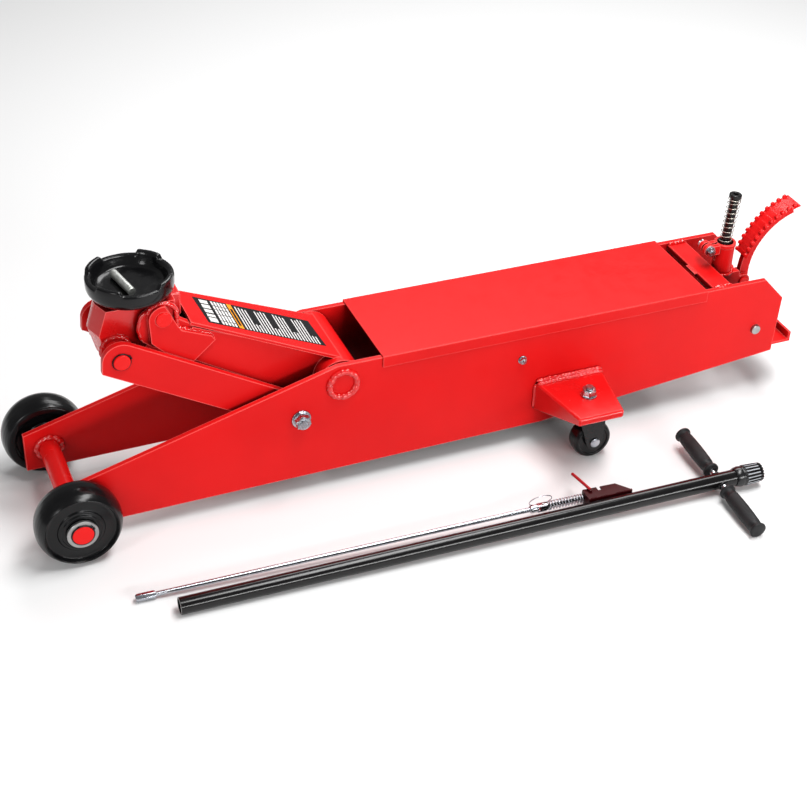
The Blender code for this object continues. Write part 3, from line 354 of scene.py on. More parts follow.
def filleted(profile, radius, steps=3):
    """Rounds the corners of a profile of (r, h) points. Ends stay as they are."""
    made = [Vector(profile[0])]
    for before, corner, after in zip(profile, profile[1:], profile[2:]):
        before, corner, after = Vector(before), Vector(corner), Vector(after)
        back, on = before - corner, after - corner
        reach = min(radius, back.length * 0.45, on.length * 0.45)
        first, last = corner + back.normalized() * reach, corner + on.normalized() * reach
        for i in range(steps + 1):
            t = i / steps
            made.append(first * (1 - t) ** 2 + corner * 2 * t * (1 - t) + last * t * t)
    return made + [Vector(profile[-1])]


def skin(shape, loops, ring=False):
    """Faces from each loop of points to the next, in a fan where a loop is one point."""
    pairs = list(zip(loops, loops[1:])) + [(loops[-1], loops[0])] * ring
    for first, second in pairs:
        count = max(len(first), len(second))
        for i in range(count if count > 1 else 0):
            j = (i + 1) % count
            corners = [first[k % len(first)] for k in (j, i)] + [second[k % len(second)] for k in (i, j)]
            shape.faces.new(list(dict.fromkeys(corners)))


def capped(shape, loops):
    """Faces along the loops of an open bar, and one across each end."""
    skin(shape, [loop[::-1] for loop in loops])
    shape.faces.new(loops[0][::-1])
    shape.faces.new(loops[-1])


def turned(name, profile, centre, axis, finish, segments=64, fillet=0, ring=False, shape_of=None):
    """A turned piece from (radius, height) points, heights along the axis. shape_of(angle, radius, height)
    may change the radius, for flutes and flats."""
    if fillet and ring:
        closed = [*profile, profile[0], profile[1]]
        profile = filleted(closed, fillet)[1:-1]
        if (profile[0] - profile[-1]).length < 1e-7:
            profile = profile[:-1]
    elif fillet:
        profile = filleted(profile, fillet)
    axis = Vector(axis).normalized()
    side, up = across(axis)
    shape = bmesh.new()
    loops = []
    for radius, height in profile:
        if radius < 1e-6:
            loops.append([shape.verts.new(centre + axis * height)])
            continue
        loop = []
        for i in range(segments):
            angle = 2 * pi * i / segments
            r = shape_of(angle, radius, height) if shape_of else radius
            loop.append(shape.verts.new(centre + axis * height + toward(side, up, angle) * r))
        loops.append(loop)
    skin(shape, loops, ring)
    return finish_piece(name, shape, finish)


def bar(name, radius, start, end, centre, axis, finish, segments, fillet=0):
    """A plain zinc disc or rod from one height to another."""
    profile = [(0, start), (radius, start), (radius, end), (0, end)]
    return turned(name, profile, centre, axis, finish, segments, fillet)


def resampled(points, step, closed=False):
    """Points a fixed step apart along a line through the given points."""
    points = [Vector(p) for p in points]
    if closed:
        points.append(points[0])
    lengths = [0]
    for a, b in zip(points, points[1:]):
        lengths.append(lengths[-1] + (b - a).length)
    count = max(2, round(lengths[-1] / step))
    made, k = [], 0
    for i in range(count + (0 if closed else 1)):
        s = lengths[-1] * i / count
        while k < len(points) - 2 and lengths[k + 1] < s:
            k += 1
        part = (s - lengths[k]) / max(lengths[k + 1] - lengths[k], 1e-9)
        made.append(points[k].lerp(points[k + 1], part))
    return made


def swept(name, points, radius, finish, sides=12, closed=False, crease=60):
    """A round bar through points. The radius may be a function of the point's number."""
    points = [Vector(p) for p in points]
    count = len(points)
    shape = bmesh.new()
    loops = []
    normal = None
    for i, point in enumerate(points):
        after = points[(i + 1) % count] if closed or i < count - 1 else point
        before = points[i - 1] if closed or i else point
        along = (after - before).normalized()
        if normal is None:
            normal = across(along)[0]
        normal = (normal - along * normal.dot(along)).normalized()
        other = along.cross(normal)
        r = radius(i) if callable(radius) else radius
        ways = [toward(normal, other, 2 * pi * k / sides) for k in range(sides)]
        loops.append([shape.verts.new(point + way * r) for way in ways])
    if closed:
        skin(shape, [loop[::-1] for loop in loops], True)
    else:
        capped(shape, loops)
    return finish_piece(name, shape, finish, crease)


def weld(name, points, radius, body, pitch, seed, flat=0.1, finish=RED_WELD, slot="red_paint", closed=False):
    """A weld bead: a bar with the even ripple of its pool and a little wander."""
    step = 0.0009
    line = resampled(points, step, closed)
    wander = 0.1 * radius

    def shift(i, point):
        return point + Vector([noise.noise(Vector((i * 0.09, seed, k))) for k in (0, 7, 13)]) * wander * 2

    def size(i):
        ripple = abs(sin(pi * i * step / pitch))
        ends = 1
        if not closed:
            near = min(i, len(line) - 1 - i) * step
            ends = min(1, 0.35 + near / (radius * 1.5))
        return radius * ends * (0.9 + 0.16 * ripple + flat * noise.noise(Vector((i * 0.12, seed, 3))))

    line = [shift(i, p) for i, p in enumerate(line)]
    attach(swept(name, line, size, finish, 10, closed, 180), body)


def ring_weld(name, centre, axis, ring_radius, *bead):
    """A weld bead right round a bar."""
    weld(name, ring_points(centre, axis, ring_radius), *bead, closed=True)


def ring_points(centre, axis, radius, start=0, end=360, count=48):
    side, up = across(axis)
    steps = count if end - start == 360 else count - 1
    angles = [radians(start + (end - start) * i / steps) for i in range(count)]
    return [Vector(centre) + toward(side, up, angle) * radius for angle in angles]


def coil(name, start, axis, radius, wire, turns, length, finish, closed_turns, per_turn):
    """A coil spring with close-wound ends."""
    axis = Vector(axis).normalized()
    side, up = across(axis)
    count = int(turns * per_turn)
    tight = wire * 2.1
    made = []
    for i in range(count + 1):
        turn = i / per_turn
        ends = closed_turns * tight
        if turn < closed_turns:
            along = turn * tight
        elif turn > turns - closed_turns:
            along = length - (turns - turn) * tight
        else:
            along = ends + (turn - closed_turns) / (turns - 2 * closed_turns) * (length - 2 * ends)
        angle = 2 * pi * turn
        made.append(Vector(start) + axis * along + toward(side, up, angle) * radius)
    return swept(name, made, wire, finish, 8, False, 180)


def hexagonal(across_flats, turn):
    """A radius rule for a hexagon, for turned()."""

    def rule(angle, radius, _height):
        inside = (angle + turn) % (pi / 3) - pi / 6
        return min(radius, across_flats / 2 / cos(inside))

    return rule


def hex_head(name, base, axis, across_flats, height, turn, stud, stud_length):
    """A zinc nut or bolt head with chamfered corners, and a stud end out of its middle."""
    corner = across_flats / sqrt(3)
    inside = across_flats / 2 * 0.97
    profile = [(0, 0), (corner, 0), (corner, height - (corner - inside) * 0.6), (inside, height)]
    top = height + stud_length
    profile += [
        (stud + 0.0003, height), (stud, height + 0.0001), (stud, top - 0.0008), (stud - 0.0008, top), (0, top)
    ]
    return turned(name, profile, base, axis, ZINC, 60, shape_of=hexagonal(across_flats, turn))


def slab(name, outline, thickness, origin, along, rise, finish, edge=0):
    """A flat plate. The outline is in (along, rise) from the origin, and half its thickness is each way."""
    along, rise = Vector(along).normalized(), Vector(rise).normalized()
    depth = along.cross(rise).normalized()
    shape = bmesh.new()
    front = [shape.verts.new(origin + along * a + rise * b + depth * thickness / 2) for a, b in outline]
    back = [shape.verts.new(origin + along * a + rise * b - depth * thickness / 2) for a, b in outline]
    capped(shape, [back, front])
    if edge:
        edges = shape.edges[:]
        bmesh.ops.bevel(
            shape, geom=edges, offset=edge, segments=2, profile=0.5, affect="EDGES", clamp_overlap=True
        )
    return finish_piece(name, shape, finish)


def arc(centre, radius, start, end, count):
    angles = [radians(start + (end - start) * i / (count - 1)) for i in range(count)]
    return [(centre[0] + radius * cos(angle), centre[1] + radius * sin(angle)) for angle in angles]


# Chassis
PLATE_INSIDE, PLATE_FACE = reach_of("side_plate_right")
Y_AXIS = Vector((0, 1, 0))
Z_AXIS = Vector((0, 0, 1))


def chassis():
    for side, sign in SIDES:
        dress("side_plate_" + side, RED, 0.0011)
        small_bolt("plate_bolt_" + side, at(0.838, sign * PLATE_FACE, 0.191), Y_AXIS * sign)
        link_bolt(side, sign)
        pivot_weld(side, sign)
    dress("top_cover", RED, 0.0016)
    dress("arm_pivot_shaft", RED, 0.0016)
    dress("rear_angle", RED, 0.0012)
    dress("rear_shaft", ZINC_DULL, 0.0006)
    for node in ("pump_block", "ram_cylinder", "reservoir_tank"):
        dress(node, RED, 0.0015)
    dress("release_valve", ZINC, 0.0006)
    crossbar()
    front_axle()
    cover_stitches()


def small_bolt(name, base, axis):
    """A small washer and a hexagon nut on the end of a screw."""
    rim = bar(name + "_washer", 0.0085, 0, 0.0014, base, axis, ZINC, 40, 0.0003)
    head = hex_head(name, base + axis * 0.0013, axis, 0.0125, 0.0062, 0.2, 0.0036, 0.0022)
    for piece in (rim, head):
        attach(piece, "chassis")


def link_bolt(side, sign):
    axis = Y_AXIS * sign
    base = beside(pivot(f"link_{side}_turn"), sign * (PLATE_FACE + 0.0002))
    profile = [(0, 0), (0.0175, 0), (0.018, 0.0006), (0.0175, 0.0028), (0, 0.0028)]
    washer = turned(f"link_bolt_{side}_washer", profile, base, axis, ZINC, 56, 0.0004)
    head = hex_head(f"link_bolt_{side}_head", base + axis * 0.0026, axis, 0.026, 0.014, 0.3, 0.008, 0.0036)
    shank = bar(f"link_bolt_{side}_shank", 0.008, 0, -0.0325, base, axis, ZINC_DULL, 32, 0.0006)
    swap(head, "link_bolt_" + side)
    for piece in (washer, shank):
        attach(piece, "chassis")


def pivot_weld(side, sign):
    """The bead that holds the arm's shaft in the plate."""
    face = beside(pivot("lift_arm_turn"), sign * (PLATE_FACE + 0.0008))
    ring_weld(f"pivot_weld_{side}", face, Y_AXIS * sign, 0.0255, 0.0062, "chassis", 0.009, sign * 3.1, 0.2)


def crossbar():
    dress("rear_crossbar", RED, 0.0012)
    low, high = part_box("rear_crossbar")
    tab = slab(
        "crossbar_tab", [(-0.0255, 0), (0.007, 0), (0.007, 0.0058), (-0.0255, 0.0058)], 0.003,
        Vector((low.x, AXLE.y, high.z - 0.0022)), Y_AXIS, (-1, 0, 0), RED, 0.0006,
    )
    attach(tab, "chassis")
    for side, sign in SIDES:
        y = AXLE.y + sign * (PLATE_INSIDE - 0.0018)
        line = [
            (low.x + 0.001, y, high.z - 0.004), (low.x + 0.005, y, high.z + 0.0006),
            (high.x - 0.005, y, high.z + 0.0006), (high.x + 0.0008, y, high.z - 0.006),
        ]
        weld(f"crossbar_weld_{side}", line, 0.0046, "chassis", 0.0075, sign * 5, 0.3)


def cover_stitches():
    """Short beads that hold the rear angle."""
    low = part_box("rear_angle")[0]
    for side, sign in SIDES:
        y = AXLE.y + sign * (PLATE_INSIDE - 0.0015)
        line = [(low.x + x, y, low.z + 0.0062) for x in (0.003, 0.02)]
        weld(f"angle_weld_{side}", line, 0.003, "chassis", 0.004, sign * 2.2)


def front_axle():
    _, half, radius = half_size("front_axle")
    groove = [
        (0, half), (radius - 0.0012, half), (radius, half - 0.0012), (radius, half - 0.002),
        (radius - 0.0016, half - 0.0021), (radius - 0.0016, half - 0.0032), (radius, half - 0.0033),
    ]
    axle = turned("front_axle_bar", mirrored(groove), AXLE, Y_AXIS, RED_PIN, 72, 0.0004)
    swap(axle, "front_axle")
    for side, sign in SIDES:
        inner, outer = reach_of("wheel_washer_" + side)
        disc = [(0.027, inner), (0.019, inner), (0.019, outer), (0.0264, outer), (0.027, outer - 0.0006)]
        washer = turned(
            f"wheel_washer_{side}_disc", disc, AXLE, Y_AXIS * sign, ZINC_DULL, 72, ring=True
        )
        swap(washer, "wheel_washer_" + side)
        place = AXLE + Y_AXIS * sign * (outer + 0.001)
        clip = snap_ring(f"axle_clip_{side}", place, Y_AXIS * sign, radius + 0.0006, 0.0014, 215)
        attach(clip, "chassis")
        face = beside(AXLE, sign * (PLATE_INSIDE - 0.0012))
        bead = (radius + 0.0025, 0.0062, "chassis", 0.012, sign * 1.7, 0.35)
        ring_weld(f"axle_weld_{side}", face, Y_AXIS * sign, *bead)


def snap_ring(name, centre, axis, radius, wire, gap_at, ears=0.0034):
    """A retaining ring: nearly a whole turn, with an ear at each side of its gap."""
    ear, other = ring_points(centre, axis, radius + ears, gap_at + 8, gap_at + 352, 2)
    clip = [ear, *ring_points(centre, axis, radius, gap_at + 9, gap_at + 351, 60), other]

    def thickness(i):
        return wire * (1.5 if min(i, len(clip) - 1 - i) < 2 else 1)

    return swept(name, clip, thickness, SNAP_RING, 8, False, 180)


# Casters
def casters():
    for side, sign in SIDES:
        dress("caster_bracket_" + side, RED_GLOSS, 0.0034, 4)
        dress("caster_fork_" + side, BLACK_STEEL, 0.0009)
        kingpin(side)
        caster_axle(side)
        caster_wheel(side)
        low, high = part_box("caster_bracket_" + side)
        y = AXLE.y + sign * (PLATE_FACE + 0.0032)
        for run, out, rise in ((0, 0, 0.004), (1, sign * 0.0052, 0.0006)):
            top = [(low.x + 0.001, y + out, high.z + rise), (high.x - 0.001, y + out, high.z + rise)]
            weld(f"caster_weld_{side}_top_{run}", top, 0.0046, "chassis", 0.0072, sign * 4 + run, 0.25)
        for end, x in (("front", low.x - 0.0008), ("rear", high.x + 0.0008)):
            line = [(x, y - sign * 0.001, high.z - 0.004), (x, y - sign * 0.001, low.z + 0.006)]
            weld(f"caster_weld_{side}_{end}", line, 0.003, "chassis", 0.0055, sign * 6 + x)


def kingpin(side):
    place = pivot(f"caster_{side}_swivel")
    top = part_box("caster_bracket_" + side)[1].z
    base = Vector((place.x, place.y, top + 0.0003))
    washer = bar(f"kingpin_{side}_washer", 0.015, 0, 0.0022, base, Z_AXIS, ZINC, 48, 0.0005)
    nut = hex_head(f"kingpin_{side}_nut", base + Z_AXIS * 0.002, Z_AXIS, 0.0235, 0.013, 0.35, 0.0072, 0.005)
    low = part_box("caster_stud_" + side)[0].z
    pin, head = 0.0059, 0.0104
    profile = [(0, base.z), (pin, base.z), (pin, low + 0.007), (head, low + 0.0068), (head, low), (0, low)]
    foot = Vector((place.x, place.y, 0))
    shank = turned(f"kingpin_{side}_shank", profile, foot, Z_AXIS, ZINC_DULL, 32, 0.0005)
    swap(nut, "caster_stud_" + side)
    for piece in (washer, shank):
        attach(piece, "chassis")


def caster_axle(side):
    place = pivot(f"caster_{side}_spin")
    half = half_size("caster_axle_" + side).y
    head = [(0, half), (0.007, half - 0.0002), (0.0095, half - 0.0012)]
    head += [(0.0095, half - 0.0034), (0.0049, half - 0.0034)]
    rivet = turned(f"caster_axle_{side}_rivet", mirrored(head), place, Y_AXIS, ZINC, 40, 0.0006)
    swap(rivet, "caster_axle_" + side)


def caster_wheel(side):
    place = pivot(f"caster_{side}_spin")
    _, half, radius = half_size("caster_wheel_" + side)
    face = [
        (0.0053, half), (0.012, half), (0.014, half - 0.0024), (radius - 0.0105, half - 0.0024),
        (radius - 0.009, half), (radius - 0.0052, half), (radius - 0.0022, half - 0.0022),
        (radius - 0.0006, half - 0.007),
    ]
    profile = [*face, (radius, 0), *mirrored(face)[len(face) :]]
    name = f"caster_wheel_{side}_tyre"
    wheel = turned(name, profile, place, Y_AXIS, WHEEL, 72, 0.0008, True)
    swap(wheel, "caster_wheel_" + side)


# Front wheels
def front_wheel(side, sign):
    """A crowned tread, a lip with a stepped face sunk below it, and a boss on the inner side."""
    radius = half_size("front_wheel_" + side).z
    inner, outer = reach_of("front_wheel_" + side)
    back = inner + 0.0086
    mid = (back + outer) / 2
    crown = [
        (0.0628, outer - 0.0006), (0.064, outer), (0.065, outer - 0.0004), (0.0682, outer - 0.0048),
        (0.0716, outer - 0.011), (0.0738, outer - 0.018), (radius - 0.0001, mid + 0.0035),
        (radius, mid - 0.001), (0.0742, mid - 0.012), (0.0722, mid - 0.02), (0.069, back + 0.002),
        (0.0665, back),
    ]
    face = [
        (0.056, back + 0.0004), (0.052, back + 0.005), (0.036, back + 0.005), (0.032, back), (0.03, inner),
        (0.019, inner), (0.019, outer - 0.002), (0.033, outer - 0.002), (0.0352, outer - 0.0044),
        (0.0395, outer - 0.0048), (0.041, outer - 0.0076), (0.056, outer - 0.0086), (0.0596, outer - 0.0076),
        (0.0612, outer - 0.004),
    ]
    name, way = f"front_wheel_{side}_tyre", Y_AXIS * sign
    wheel = turned(name, crown + face, AXLE, way, WHEEL, 128, 0.0012, True)
    swap(wheel, "front_wheel_" + side)


# Lift arm
SHAFT = pivot("lift_arm_turn")
HEAD = pivot("saddle_bracket_turn")
ARM_WAY = (HEAD - SHAFT).normalized()
ARM_UP = Vector((-ARM_WAY.z, 0, ARM_WAY.x)) * -1


def on_arm(reach, rise, y):
    """A point in the arm's plane: how far from its shaft towards its head, and how far above that line."""
    return beside(SHAFT + ARM_WAY * reach + ARM_UP * rise, y)


def lift_arm():
    dress("lift_arm", RED, 0.0015)
    dress("arm_head_pin", RED_PIN, 0.0014)
    head = (HEAD - SHAFT).length
    for side, sign in SIDES:
        seam = [(0.246, -0.007), (0.2558, -0.0015), (0.3094, -0.0095), (0.3195, -0.004)]
        seam = [on_arm(u, v, sign * 0.053) for u, v in seam + arc((head, 0), 0.0258, 130, -14, 14)]
        weld(f"cheek_weld_{side}", seam, 0.0042, "lift_arm", 0.008, sign * 2, 0.3)
        edge = [(0.3792, -0.0073), (0.3816, -0.0162), (0.3741, -0.039), (0.3596, -0.0535)]
        edge = [on_arm(u, v, sign * 0.0488) for u, v in arc((head, 0), 0.024, 112, 14, 12) + edge]
        weld(f"head_edge_{side}", edge, 0.0034, "lift_arm", 0.013, sign * 5.2, 0.3)
        guard = [on_arm(0.045 + 0.028 * i, 0.0247 - 0.0029 * i, sign * 0.0572) for i in range(3)]
        weld(f"guard_weld_{side}", guard, 0.003, "lift_arm", 0.005, sign * 4.4)
    label()


def label():
    """A plain label on the guard: a dark sheet with pale bars where print would be, and an orange band."""
    front, rear = on_arm(0.2988, 0.0076, 0), on_arm(-0.0075, 0.039, 0)
    way = (rear - front).normalized()
    up = Vector((-way.z, 0, way.x))
    up = up if up.z > 0 else -up

    def patch(name, low, high, near, far, level, finish, lean=(0, 0)):
        """A rectangle on the guard, from low to high along it and near to far across it."""
        corners = [(low + lean[0], near), (high + lean[1], near), (high, far), (low, far)]
        thickness = 0.00016
        base = Vector((front.x, AXLE.y, front.z)) + up * (0.0001 + level)
        sheet = slab(name, corners, thickness, base, way, Y_AXIS, finish)
        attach(sheet, "lift_arm")

    patch("label_sheet", 0.032, 0.263, -0.043, 0.0425, 0, LABEL_BLACK, (0.005, 0.0045))
    step = 0.00014
    title = ((-0.0375, -0.0235), (-0.02, -0.011), (-0.006, 0.005), (0.009, 0.021), (0.025, 0.037))
    for i, (near, far) in enumerate(title):
        patch(f"label_title_{i}", 0.0425, 0.0585, near, far, step, LABEL_WHITE)
    for row in range(5):
        low = 0.065 + 0.0062 * row
        near = -0.0395
        for word in range(5):
            far = near + 0.0105 + 0.0045 * ((row * 3 + word * 2) % 3)
            patch(f"label_heading_{row}_{word}", low, low + 0.004, near, min(far, 0.0385), step, LABEL_WHITE)
            near = far + 0.0022
            if near > 0.033:
                break
    patch("label_band", 0.097, 0.106, -0.041, 0.041, step, LABEL_ORANGE)
    patch("label_band_bar", 0.0992, 0.1038, -0.032, 0.025, step * 2, LABEL_BLACK)
    rows, first, last = 24, 0.1115, 0.261
    pitch = (last - first) / rows
    for row in range(rows):
        low = first + pitch * row
        far = -0.015 if row % 6 in (4, 5) else 0.037 - 0.0016 * (row * 5 % 4)
        patch(f"label_line_{row}", low, low + pitch * 0.4, -0.04, far, step, LABEL_WHITE)


def link_bars():
    pin = middle("link_pin")
    for side, sign in SIDES:
        dress("link_bar_" + side, RED, 0.0012)
        low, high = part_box("link_bar_" + side)
        face = (high.y if sign > 0 else low.y) + sign * 0.0013
        place, gap_at = Vector((pin.x, face, pin.z)), 205 if sign < 0 else 335
        ring = snap_ring(f"link_clip_{side}", place, Y_AXIS * sign, 0.0152, 0.0012, gap_at, 0.003)
        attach(ring, "saddle_bracket")
        boss = beside(pin, sign * 0.0378)
        bead = (0.0235, 0.005, "saddle_bracket", 0.0085, sign * 8, 0.25)
        ring_weld(f"boss_weld_{side}", boss, Y_AXIS * sign, *bead)


# Saddle and its bracket
def saddle_bracket():
    dress("saddle_bracket", RED_GLOSS, 0.0024, 4)
    dress("link_pin", RED_PIN, 0.0012)


def saddle():
    """A cast cup. Its rim rises into four lugs with sloping ends."""
    place = pivot("saddle_swivel")
    low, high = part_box("saddle")
    radius = (high.x - low.x) / 2
    bed, rim, lug = 0.02, 0.038, high.z - place.z - 0.038
    profile = [
        (0, bed, 0), (0.046, bed - 0.0001, 0), (0.0535, bed + 0.0003, 0), (0.0565, bed + 0.0016, 0),
        (0.059, bed + 0.005, 0), (0.0618, rim - 0.004, 0), (0.0638, rim - 0.001, 0.35),
        (0.0655, rim, 0.95), (0.0668, rim + 0.0002, 1), (0.0715, rim + 0.0002, 1),
        (0.0728, rim - 0.0002, 0.97), (radius, rim - 0.0014, 0.9), (radius, rim - 0.006, 0.25),
        (radius, 0.029, 0), (radius - 0.0004, 0.021, 0), (radius - 0.0016, 0.0165, 0),
        (radius - 0.0055, 0.011, 0), (0.061, 0.0072, 0), (0.052, 0.0042, 0), (0.044, 0.0022, 0),
        (0.038, 0.0003, 0), (0.015, 0.0003, 0), (0.0145, -0.0005, 0), (0.0145, -0.053, 0),
        (0.0135, -0.054, 0), (0, -0.054, 0),
    ]
    segments, first_lug, lug_half, slope = 192, 47, 20.5, 4.5
    shape = bmesh.new()
    loops = []
    for r, height, share in profile:
        if r == 0:
            loops.append([shape.verts.new(place + Z_AXIS * height)])
            continue
        loop = []
        for i in range(segments):
            degrees = 360 * i / segments
            off = abs((degrees - first_lug + 45) % 90 - 45)
            raised = min(1, max(0, (lug_half - off) / slope))
            raised = raised * raised * (3 - 2 * raised)
            rough = 0.0003 * noise.noise(Vector((degrees * 0.06, r * 90, height * 60)))
            top = place.z + height + share * lug * raised + (rough if r > 0.02 and height > 0 else 0)
            angle = radians(degrees)
            out = r + (rough if height > 0.002 and r < radius - 0.0005 else 0)
            x, y = out * cos(angle), out * sin(angle)
            loop.append(shape.verts.new((place.x + x, place.y + y, top)))
        loops.append(loop)
    skin(shape, loops)
    swap(finish_piece("saddle_cup", shape, BLACK_CAST, 50), "saddle")
    r, half = 0.0072, 0.035
    end = mirrored([(0, half), (r - 0.0007, half), (r, half - 0.0007)])
    way = Matrix.Rotation(radians(11.8), 3, "Z") @ Y_AXIS
    pin = turned("saddle_bar", end, middle("saddle_pin"), way, PIN_STEEL, 40, 0.0002)
    swap(pin, "saddle_pin")


def ram():
    dress("push_block", STEEL, 0.0012)
    dress("piston_rod", STEEL, 0.0008)
    dress("pump_plunger", STEEL, 0.0006)
    for side in ("left", "right"):
        low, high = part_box("return_spring_" + side)
        start, length = Vector((low.x + 0.001, *((low + high) / 2).yz)), high.x - low.x - 0.002
        spring = coil(f"return_coil_{side}", start, (1, 0, 0), 0.0068, 0.0011, 46, length, SPRING, 3, 12)
        swap(spring, "return_spring_" + side)


# Pump drive
def yoke():
    dress("handle_yoke", RED, 0.0012)
    dress("handle_socket", RED, 0.0007)
    dress("pedal_pin", RED_PIN, 0.001)
    low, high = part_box("handle_socket")
    place = Vector((high.x - 0.0209, AXLE.y, low.z))
    ring_weld("socket_weld", place + Z_AXIS * 0.0006, Z_AXIS, 0.0208, 0.0028, "handle_yoke", 0.006, 3.3)
    pinch_bolt()
    release_rod()


def pinch_bolt():
    centre = middle("pinch_bolt")
    centre.y = AXLE.y
    for side, sign in SIDES:
        base = centre + Y_AXIS * sign * 0.0116
        way = Y_AXIS * sign
        washer = bar(f"pinch_washer_{side}", 0.0104, 0, 0.0018, base, way, ZINC, 40, 0.0004)
        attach(washer, "handle_yoke")
        head = hex_head(f"pinch_head_{side}", base + way * 0.0017, way, 0.016, 0.0066, 0.4, 0.0043, 0.0034)
        if sign < 0:
            swap(head, "pinch_bolt")
        else:
            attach(head, "handle_yoke")
    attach(bar("pinch_shank", 0.004, 0.012, -0.012, centre, Y_AXIS, ZINC_DULL, 24), "handle_yoke")


def release_rod():
    """The release shaft's cap has a square-edged recess. A light spring stands round the shaft."""
    joint = JOINTS["release_twist"]
    foot, axis = Vector(joint["pos_m"]), Vector(joint["axis"]).normalized()
    length = 0.1535
    cap = length - 0.008
    profile = [
        (0, length - 0.006), (0.005, length - 0.006), (0.0052, length - 0.0004), (0.0106, length),
        (0.012, length - 0.0012), (0.0123, length - 0.004), (0.0123, cap + 0.001), (0.0114, cap),
        (0.0088, cap), (0.0088, 0), (0, 0),
    ]
    rod = turned("release_shaft", profile, foot, axis, BLACK_STEEL, 56, 0.0004)
    swap(rod, "release_rod")
    collar = [(0.0092, 0.048), (0.0092, 0.055), (0.0122, 0.0548), (0.0128, 0.054), (0.0128, 0.048)]
    ring = turned("release_collar", collar, foot, axis, BLACK_STEEL, 48, ring=True)
    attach(ring, "handle_yoke")
    spring = coil("release_coil", foot + axis * 0.001, axis, 0.0118, 0.0008, 16, cap - 0.003, SPRING, 1, 30)
    swap(spring, "release_spring")


def pedal():
    """A flat bar on edge, and over its curve a tread whose two long edges stand up in teeth."""
    dress("foot_pedal", RED, 0.0013)
    pin = pivot("foot_pedal_turn")
    centre = Vector((pin.x + 0.135, AXLE.y, pin.z + 0.015))
    inner, plate = 0.1399, 0.003
    start, end, teeth = 165, 105, 11
    steps = teeth * 14

    def section(share):
        """Points (radius, y) round the tread at a share of its length. Its left teeth are the wider ones."""
        phase = (share * teeth) % 1
        nub = 0.0052 * (1 - (2 * phase / 0.66 - 1) ** 4) if phase < 0.66 else 0
        half = 0.0182 + 0.004 * share
        top = inner + plate
        rise = 0.0006 * (nub > 0)
        return [
            (inner, -half + 0.0008), (inner, half - 0.0008), (inner + 0.0008, half), (top + nub, half),
            (top + nub + rise, half - 0.0014), (top + nub * 0.85, half - 0.004), (top, half - 0.0052),
            (top, -half + 0.01), (top + nub * 0.8, -half + 0.0078), (top + nub + rise, -half + 0.0058),
            (top + nub, -half + 0.0026), (top + nub * 0.2, -half + 0.001), (top, -half),
            (inner + 0.0008, -half),
        ]

    shape = bmesh.new()
    loops = []
    for i in range(steps + 1):
        share = i / steps
        angle = radians(start + (end - start) * share)
        way = Vector((cos(angle), 0, sin(angle)))
        outline = section(min(share, 0.99999))
        loops.append([shape.verts.new(centre + way * r + Y_AXIS * y) for r, y in outline])
    capped(shape, loops)
    swap(finish_piece("pedal_tread_plate", shape, RED_TREAD, 40), "pedal_tread")


# Handle
def rotation(degrees, axis):
    return Matrix.Rotation(radians(degrees), 4, axis)


HANDLE = Matrix.Translation(at(0.117, -0.332, 0.0152)) @ rotation(-1.38, "Z") @ rotation(-0.483, "Y")
LINKAGE = HANDLE @ Matrix.Translation((0.757, 0.036, 0.001)) @ rotation(-0.944, "Z") @ rotation(-0.553, "Y")
TEE = HANDLE @ Matrix.Translation((1.008, 0, 0)) @ rotation(3.2, "X")


def way_of(place, direction):
    return (place.to_3x3() @ Vector(direction)).normalized()


def handle():
    along = way_of(HANDLE, (1, 0, 0))
    length, radius, bore = 1.038, 0.015, 0.0128
    profile = [
        (bore, 0.0004), (bore + 0.0004, 0), (radius - 0.0004, 0), (radius, 0.0006),
        (radius, length - 0.0006), (radius - 0.0006, length), (bore, length), (bore, length - 0.05),
        (bore, 0.05),
    ]
    foot = HANDLE.translation
    swap(turned("handle_pipe", profile, foot, along, BLACK_TUBE, 72, ring=True), "handle_tube")
    bare = [(bore + 0.0003, -0.0003), (radius - 0.0005, -0.0003)]
    bare += [(radius - 0.0002, 0.0001), (bore + 0.0002, 0.0001)]
    edge = turned("handle_pipe_edge", bare, foot, along, ZINC_DULL, 72, ring=True)
    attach(edge, "handle")
    tee_bar()
    bracket()
    knob()
    linkage()
    lever()


def tee_bar():
    out = way_of(TEE, (0, 1, 0))
    half = 0.1365
    end = [(0, half), (0.0056, half), (0.006, half - 0.0005)]
    swap(turned("tee_rod", mirrored(end), TEE.translation, out, STEEL, 40), "tee_bar")
    for side, sign in SIDES:
        foot = TEE @ Vector((0, sign * 0.0142, 0))
        bead = (0.007, 0.0022, "handle", 0.0045, sign * 3, 0.1, BLACK_TUBE, "tube_black")
        ring_weld(f"tee_weld_{side}", foot, out, *bead)
        grip(side, out * sign)


